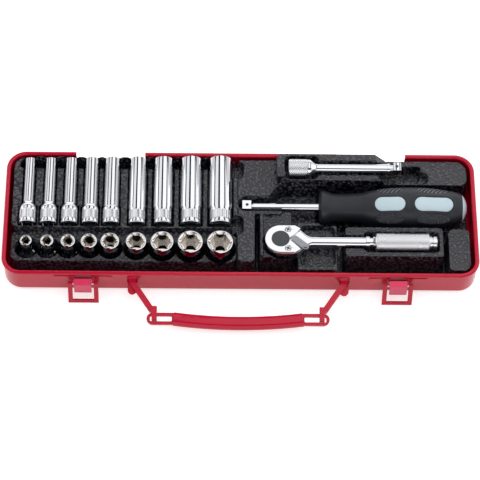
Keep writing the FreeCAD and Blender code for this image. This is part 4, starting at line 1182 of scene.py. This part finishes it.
    def build(self) -> None:
        """Make the shaft, the grip and the core, and dress them."""
        origin = np.array((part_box("spinner_shaft")[0][0] / MM, *middle("spinner_shaft")[1:]))
        self.build_shaft(origin)
        self.build_grip(origin)
        self.build_core(origin)
        # The detent ball gets the dark oxide as painted shade, for the dark gap that rings it in its hole.
        merged_copy("spinner_ball", "spinner", OXIDE_AND_PAINTED_SHADE, crease=60.0)

    def build_shaft(self, origin: Array) -> None:
        """Make the shaft: a square tip with broken edges, a neck and a long round bar.

        Args:
            origin: Where the tip starts.
        """
        theta = ring_angles(self.shaft_angles)
        tip, square, end = self.tip, self.square, self.start + self.shaft_depth
        stations = [(0.0, Section.ROUND, 0.0), (0.0, Section.SQUARE, square - 1.0), (0.5, Section.SQUARE, square),
                    (tip - 0.3, Section.SQUARE, square), (tip, Section.SQUARE, square - 0.6)]
        stations += round_stations(((tip, self.tip_neck), (tip + 0.8, self.tip_neck), (tip + 1.0, self.shaft_radius),
                                    (end, self.shaft_radius), (end, 0.0)))
        points = revolve(*read_stations(stations, theta), theta, origin, Along.X)
        mesh = mesh_from("spinner_shaft_dressed", points, grid_faces(len(stations), self.shaft_angles), crease=26.0)
        add_piece("spinner_shaft_dressed", mesh, [CHROME], "spinner", ["spinner_shaft"])

    def build_grip(self, origin: Array) -> None:
        """Make the soft grip's surface, closed at the shaft and at the tail.

        Args:
            origin: Where the tip starts.
        """
        start, end = self.start, self.length - self.cap
        theta = ring_angles(self.angles)
        s = np.concatenate(([start + 1.4, start + 0.6, start], np.linspace(start + 0.4, end - 0.3, self.rows),
                            [end, end]))
        radius = np.repeat(self.profile(np.clip(s, start, end))[:, None], self.angles, 1)
        radius[0], radius[1], radius[-1] = self.shaft_radius + 0.15, self.nose - 3.2, self.tail - 1.4
        middle_angle = math.radians(90.0 + self.tilt)
        skin = slice(3, -2)
        radius[skin] += self.grip_relief(s[skin, None], half_turns(theta - middle_angle)[None, :], radius[skin])
        points = revolve(s, radius, theta, origin, Along.X)
        points = np.concatenate((pole(points[0]), points, pole(points[-1])))
        mesh = mesh_from("spinner_grip_dressed", points, grid_faces(len(points), self.angles), crease=50.0)
        # The ground of a patch is darker, and the tops of its dots and ribs are painted pale: a painted highlight
        # where they catch the light.
        centre = face_centres(mesh) - origin
        turn = half_turns(np.arctan2(centre[:, 2], centre[:, 1]) - middle_angle)
        patches = self.patches(centre[:, 0], turn * self.profile(np.clip(centre[:, 0], start, end)))
        sunk = np.max([inside * (1.0 - raised) for inside, raised in patches], 0) > 0.5
        tips = np.max([inside * raised for inside, raised in patches], 0) > 0.5
        mesh.polygons.foreach_set("material_index", sunk.astype(np.int32) + 2 * tips.astype(np.int32))
        add_piece("spinner_grip_dressed", mesh, [RUBBER, TEXTURE, TIP_HIGHLIGHT], "spinner", ["spinner_grip"])

    def build_core(self, origin: Array) -> None:
        """Make the two inlays and the end cap, which belong to one core.

        An inlay is a disc of round-ended outline, crowned with the grip and let in by a quarter of a millimetre.
        The cap is a spherical dome.

        Args:
            origin: Where the tip starts.
        """
        around = ring_angles(self.core_angles)
        # Rings of an inlay from its middle to its edge: share of the outline, and drop below the crown.
        share = np.array([0.0, 0.35, 0.7, 0.9, 0.97, 1.0, 1.0])[:, None]
        drop = np.array([0.0, 0.0, 0.0, 0.0, 0.06, 0.2, 2.0])[:, None]
        turn = math.radians(self.tilt)
        reach = self.inlay_half - 0.05
        grids = []
        for first, last in self.inlays:
            straight = 0.5 * (last - first) - self.inlay_half
            along = 0.5 * (first + last) + share * (np.sign(np.cos(around)) * straight + reach * np.cos(around))
            side = share * reach * np.sin(around)
            height = np.sqrt(self.profile(along) ** 2 - side ** 2) - self.inlay_depth - drop
            y = side * math.cos(turn) - height * math.sin(turn)
            z = side * math.sin(turn) + height * math.cos(turn)
            grid = np.stack((along, y, z), -1)
            grids.append(np.concatenate((grid, pole(grid[-1]))) + origin)
        size = (self.tail ** 2 + self.cap ** 2) / (2.0 * self.cap)
        span = math.asin((self.tail - 0.1) / size)
        tilt = np.concatenate((np.linspace(0.0, span, 14), [span, 0.0]))
        along = self.length - size + size * np.cos(tilt)
        along[-2:] -= 0.6
        radius = np.repeat(size * np.sin(tilt)[:, None], self.core_angles, 1)
        # The cap is turned the other way round, so that its faces point out as the inlays' do.
        grids.append(revolve(along, radius, -around, origin, Along.X))
        mesh = mesh_from("spinner_core_dressed", *join_grids(grids), crease=40.0)
        add_piece("spinner_core_dressed", mesh, [INLAY], "spinner", ["spinner_core"])


@dataclass
class Ratchet:
    """The ratchet: forged head and neck, knurled sleeve, cover plate, gear disc and reverse lever."""

    axis_height: float = 22.0
    head_radius: float = 10.1
    head_straight: float = 9.5
    head_end: float = 20.5
    head_power: float = 0.16
    below: float = 6.5
    above: float = 2.6
    neck: float = 3.5
    neck_flat: float = 0.3
    collars: tuple[tuple[float, float], ...] = ((56.05, 4.2), (58.45, 3.2), (60.6, 4.6), (62.0, 4.0))
    collar_rows: tuple[float, ...] = (40.0, 54.0, 55.6, 56.0, 56.1, 58.4, 58.5, 60.4, 60.5, 60.7, 62.1, 62.3)
    sleeve_start: float = 62.3
    sleeve_length: float = 35.6
    sleeve_radius: float = 6.1
    sleeve_edge: float = 1.0
    tail_radius: float = 4.4
    tail_groove: float = 0.5
    screw_radius: float = 2.1
    screw_turn: float = 20.0
    cross_depth: float = 0.7
    cross_half: float = 0.4
    cross_reach: float = 1.3
    gap_depth: float = 0.5
    gap_radius: float = 1.8
    pitch: float = 1.05
    knurl_depth: float = 0.17
    angles: int = 216
    forging_angles: int = 96

    def build(self) -> None:
        """Make the forging, the sleeve and the screws, and dress the rest of the ratchet."""
        gear = middle("ratchet_drive")
        origin = np.array((gear[0], gear[1], self.axis_height))
        self.build_forging(origin)
        self.build_sleeve(origin)
        merged_copy("ratchet_cover", "ratchet", CHROME, edge=0.25)
        self.build_screws()
        merged_copy("ratchet_pawl", "ratchet", OXIDE_AND_PAINTED_SHADE)
        merged_copy("ratchet_drive", "ratchet_drive", OXIDE_AND_PAINTED_SHADE)
        merged_copy("ratchet_ball", "ratchet_drive", ZINC, crease=60.0)
        merged_copy("ratchet_reverse_lever", "ratchet_reverse_lever", PHOSPHATE, edge=0.3)

    def build_forging(self, origin: Array) -> None:
        """Make the head and neck as one loft: a squarish oval whose half width and heights change along the handle.

        The oval is the cosine and sine of the angle, each raised to a power that is small at the head, for flat
        faces, and one at the neck, for a round bar.

        Args:
            origin: The gear's axis at the handle's middle height.
        """
        head, neck, straight = self.head_radius, self.neck, self.head_straight
        nose = head * -np.cos(np.linspace(0.0, math.pi / 2, 22))
        x = np.concatenate((nose, np.linspace(0.6, straight, 9), np.linspace(10.0, 26.0, 33), self.collar_rows))
        blend = ease((x - straight + 1.0) / (self.head_end - straight + 1.5))
        plan = np.where(x < 0, np.sqrt(np.maximum(head ** 2 - x ** 2, 0.0)), head)
        wide = plan + (neck - head) * blend
        up = self.above + (neck - self.neck_flat - self.above) * blend
        down = self.below + (neck - self.below) * blend
        collar = np.zeros_like(x)
        for start, size in self.collars:
            collar = np.where(x >= start, size, collar)
        turned = collar > 0
        wide, up, down = (np.where(turned, collar, size)[:, None] for size in (wide, up, down))
        power = np.where(turned, 1.0, self.head_power + (1.0 - self.head_power) * blend)[:, None]
        theta = ring_angles(self.forging_angles)
        cos, sin = np.cos(theta), np.sin(theta)
        y = wide * np.sign(cos) * np.abs(cos) ** power
        z = np.where(sin > 0, up, down) * np.sign(sin) * np.abs(sin) ** power
        points = np.stack((np.broadcast_to(x[:, None], y.shape), y, z), -1) + origin
        points = np.concatenate((pole(points[0]), points, pole(points[-1])))
        mesh = mesh_from("ratchet_body_dressed", points, grid_faces(len(points), self.forging_angles), crease=32.0)
        add_piece("ratchet_body_dressed", mesh, [CHROME], "ratchet", ["ratchet_body"])

    def build_screws(self) -> None:
        """Make the two cover screws as heights over polar grids.

        The top dips by a narrow bell at the rim, for the gap to the countersink, and by a smooth step inside the
        cross recess, which is two crossed rectangles.
        """
        low, high = node_box("ratchet_cover_screws")
        size = self.screw_radius
        theta = ring_angles(self.forging_angles)
        radius = np.concatenate((np.linspace(0.0, 1.4, 15), np.linspace(1.5, size, 13)))[:, None]
        turned = theta + math.radians(self.screw_turn)
        across, along = np.abs(radius * np.cos(turned)), np.abs(radius * np.sin(turned))
        cross = ease((self.cross_half - np.minimum(across, along)) / 0.15)
        cross = cross * ease((self.cross_reach - np.maximum(across, along)) / 0.15)
        depth = self.cross_depth * cross + self.gap_depth * np.exp(-((radius - self.gap_radius) / 0.13) ** 2)
        grids = []
        for y in (low[1] + size, high[1] - size):
            place = np.array((0.5 * (low[0] + high[0]), y, high[2] - 0.04))
            grid = np.stack((radius * np.cos(theta), radius * np.sin(theta), -depth), -1) + place
            wall = grid[-1:] - np.array((0.0, 0.0, 1.2))
            grids.append(np.concatenate((grid, wall, pole(wall[0]))))
        mesh = mesh_from("ratchet_cover_screws_dressed", *join_grids(grids), crease=30.0)
        # The cross recess and the gap at the rim get the dark oxide: painted shade for those hollows.
        sunk = face_centres(mesh)[:, 2] < high[2] - 0.3
        mesh.polygons.foreach_set("material_index", sunk.astype(np.int32))
        add_piece("ratchet_cover_screws_dressed", mesh, [SATIN, OXIDE_AND_PAINTED_SHADE], "ratchet",
                  ["ratchet_cover_screws"])

    def build_sleeve(self, origin: Array) -> None:
        """Make the sleeve: a diamond-knurled barrel with a turned tail.

        Args:
            origin: The gear's axis at the handle's middle height.
        """
        theta = ring_angles(self.angles)
        big, end, tail = self.sleeve_radius, self.sleeve_length, self.tail_radius
        first, last, groove = self.sleeve_edge, end - self.sleeve_edge, tail - self.tail_groove
        rows = [(0.0, 0.0), (0.0, big - 0.9), (0.6, big - 0.2)] + [(t, big) for t in np.linspace(first, last, 165)]
        rows += [(end - 0.6, big - 0.2), (end, big - 0.9), (end, tail), (end + 1.2, tail), (end + 1.4, groove),
                 (end + 2.2, groove), (end + 2.4, tail), (end + 4.4, tail), (end + 5.0, tail - 0.6), (end + 5.0, 0.0)]
        along, radius = read_stations(round_stations(rows), theta)
        cut = (along >= first) & (along <= last)
        radius = radius + cut[:, None] * knurl(along[:, None], theta, big, self.pitch, self.knurl_depth)
        points = revolve(along, radius, theta, origin + np.array((self.sleeve_start, 0.0, 0.0)), Along.X)
        mesh = mesh_from("ratchet_sleeve_dressed", points, grid_faces(len(rows), self.angles), crease=40.0)
        add_piece("ratchet_sleeve_dressed", mesh, [SATIN], "ratchet", ["ratchet_sleeve"])


@dataclass(frozen=True)
class SoftBox:
    """A soft panel lamp: centre and size in metres, brightness where 1 is seen as white, and the way it faces."""

    name: str
    centre: tuple[float, float, float]
    size: tuple[float, float]
    level: float
    aim: tuple[float, float, float] = (0.0, 0.0, -1.0)

    def hang(self) -> None:
        """Put the lamp in the room."""
        lamp = bpy.data.lights.new(self.name, "AREA")
        lamp.shape = "RECTANGLE"
        lamp.size, lamp.size_y = self.size
        lamp.energy = self.level * math.pi * lamp.size * lamp.size_y
        thing = bpy.data.objects.new(self.name, lamp)
        thing.rotation_euler = Vector(self.aim).to_track_quat("-Z", "Y").to_euler()
        thing.location = self.centre
        bpy.context.scene.collection.objects.link(thing)


@dataclass
class Studio:
    """A white room with a paper floor, soft boxes, a black cloth above them, and the camera."""

    azimuth: float = -1.566
    elevation: float = 60.0
    roll: float = 1.817
    focal: float = 2220.4
    distance: float = 1455.177
    target: tuple[float, float, float] = (-0.534, -19.802, 22.5)
    image: int = 480
    sensor: float = 36.0
    room_level: float = 0.22
    floor_half: float = 4.0
    floor_height: float = -0.0004
    ceiling_half: float = 3.6
    ceiling_height: float = 2.2
    panels: tuple[SoftBox, ...] = (
        SoftBox("middle_strip", (0.5, 0.55, 1.6), (1.24, 2.9), 1.6),
        SoftBox("left_strip", (-1.22, 0.55, 1.6), (1.27, 2.9), 1.3),
        SoftBox("right_strip", (2.3, 0.55, 1.6), (1.45, 2.9), 1.2),
        SoftBox("left_side_panel", (-2.7, 0.55, 0.9), (2.9, 1.2), 0.9, (1.0, 0.0, 0.0)),
        SoftBox("right_side_panel", (3.2, 0.55, 0.9), (2.9, 1.2), 0.9, (-1.0, 0.0, 0.0)),
        SoftBox("front_low_panel", (0.0, -2.6, 1.0), (4.0, 1.8), 0.85, (0.0, 1.0, 0.0)),
        SoftBox("back_low_panel", (0.0, 2.8, 0.7), (4.0, 1.0), 0.8, (0.0, -1.0, 0.0)),
    )

    def build(self) -> None:
        """Set the stage."""
        self.add_sheet("floor", self.floor_half, self.floor_height, PAPER)
        self.build_world()
        # Only reflections see the cloth, so that chrome has dark lines.
        ceiling = self.add_sheet("ceiling", self.ceiling_half, self.ceiling_height, CLOTH)
        ceiling.visible_camera = ceiling.visible_diffuse = ceiling.visible_shadow = False
        for panel in self.panels:
            panel.hang()
        self.add_camera()
        bpy.context.scene.view_settings.view_transform = "Standard"

    def add_sheet(self, name: str, half: float, height: float, finish: Finish) -> bpy.types.Object:
        """Spread a level square sheet that faces the object.

        Args:
            name: Name of the sheet.
            half: Half its width.
            height: Its height.
            finish: Its finish.

        Returns:
            The sheet.
        """
        corners = [(-half, -half, height), (half, -half, height), (half, half, height), (-half, half, height)]
        mesh = bpy.data.meshes.new(name)
        mesh.from_pydata(corners, [], [(0, 1, 2, 3) if height < 0.0 else (3, 2, 1, 0)])
        mesh.materials.append(finish.material())
        sheet = bpy.data.objects.new(name, mesh)
        bpy.context.scene.collection.objects.link(sheet)
        return sheet

    def build_world(self) -> None:
        """Light the room evenly, and show it white to the camera and in reflections."""
        world = bpy.data.worlds.new("studio_room")
        bpy.context.scene.world = world
        world.use_nodes = True
        tree = world.node_tree
        background = tree.nodes["Background"]
        background.inputs["Color"].default_value = to_linear("#FFFFFF")
        add_node(tree, "ShaderNodeMath", {"operation": "MULTIPLY_ADD"},
                 {0: background_rays(tree), 1: 1.0 - self.room_level, 2: self.room_level},
                 {0: background.inputs["Strength"]})

    def add_camera(self) -> None:
        """Stand the camera where the photograph was taken from."""
        turn, rise, roll = (math.radians(v) for v in (self.azimuth, self.elevation, self.roll))
        back = Vector((math.sin(turn) * math.cos(rise), -math.cos(turn) * math.cos(rise), math.sin(rise)))
        right = Vector((math.cos(turn), math.sin(turn), 0.0))
        up = back.cross(right)
        rolled = math.cos(roll) * right + math.sin(roll) * up
        over = -math.sin(roll) * right + math.cos(roll) * up
        place = Vector(self.target) * MM + back * self.distance * MM
        lens = bpy.data.cameras.new("photo_camera")
        lens.sensor_width = self.sensor
        lens.lens = self.focal / self.image * lens.sensor_width
        camera = bpy.data.objects.new("photo_camera", lens)
        camera.matrix_world = Matrix((
            (rolled.x, over.x, back.x, place.x), (rolled.y, over.y, back.y, place.y),
            (rolled.z, over.z, back.z, place.z), (0.0, 0.0, 0.0, 1.0)))
        bpy.context.scene.collection.objects.link(camera)
        bpy.context.scene.camera = camera


def write_sizes() -> None:
    """Update the view layer."""
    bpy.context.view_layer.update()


def main() -> None:
    """Build every sub-assembly in order."""
    logging.basicConfig(level=logging.INFO, format="%(name)s %(message)s")
    Studio().build()
    SteelCase().build()
    FormedTray().build()
    for name in SOCKETS:
        for reach in Reach:
            Socket(name, reach).build()
    ExtensionBar().build()
    SpinnerHandle().build()
    Ratchet().build()
    write_sizes()


if __name__ == "__main__":
    main()
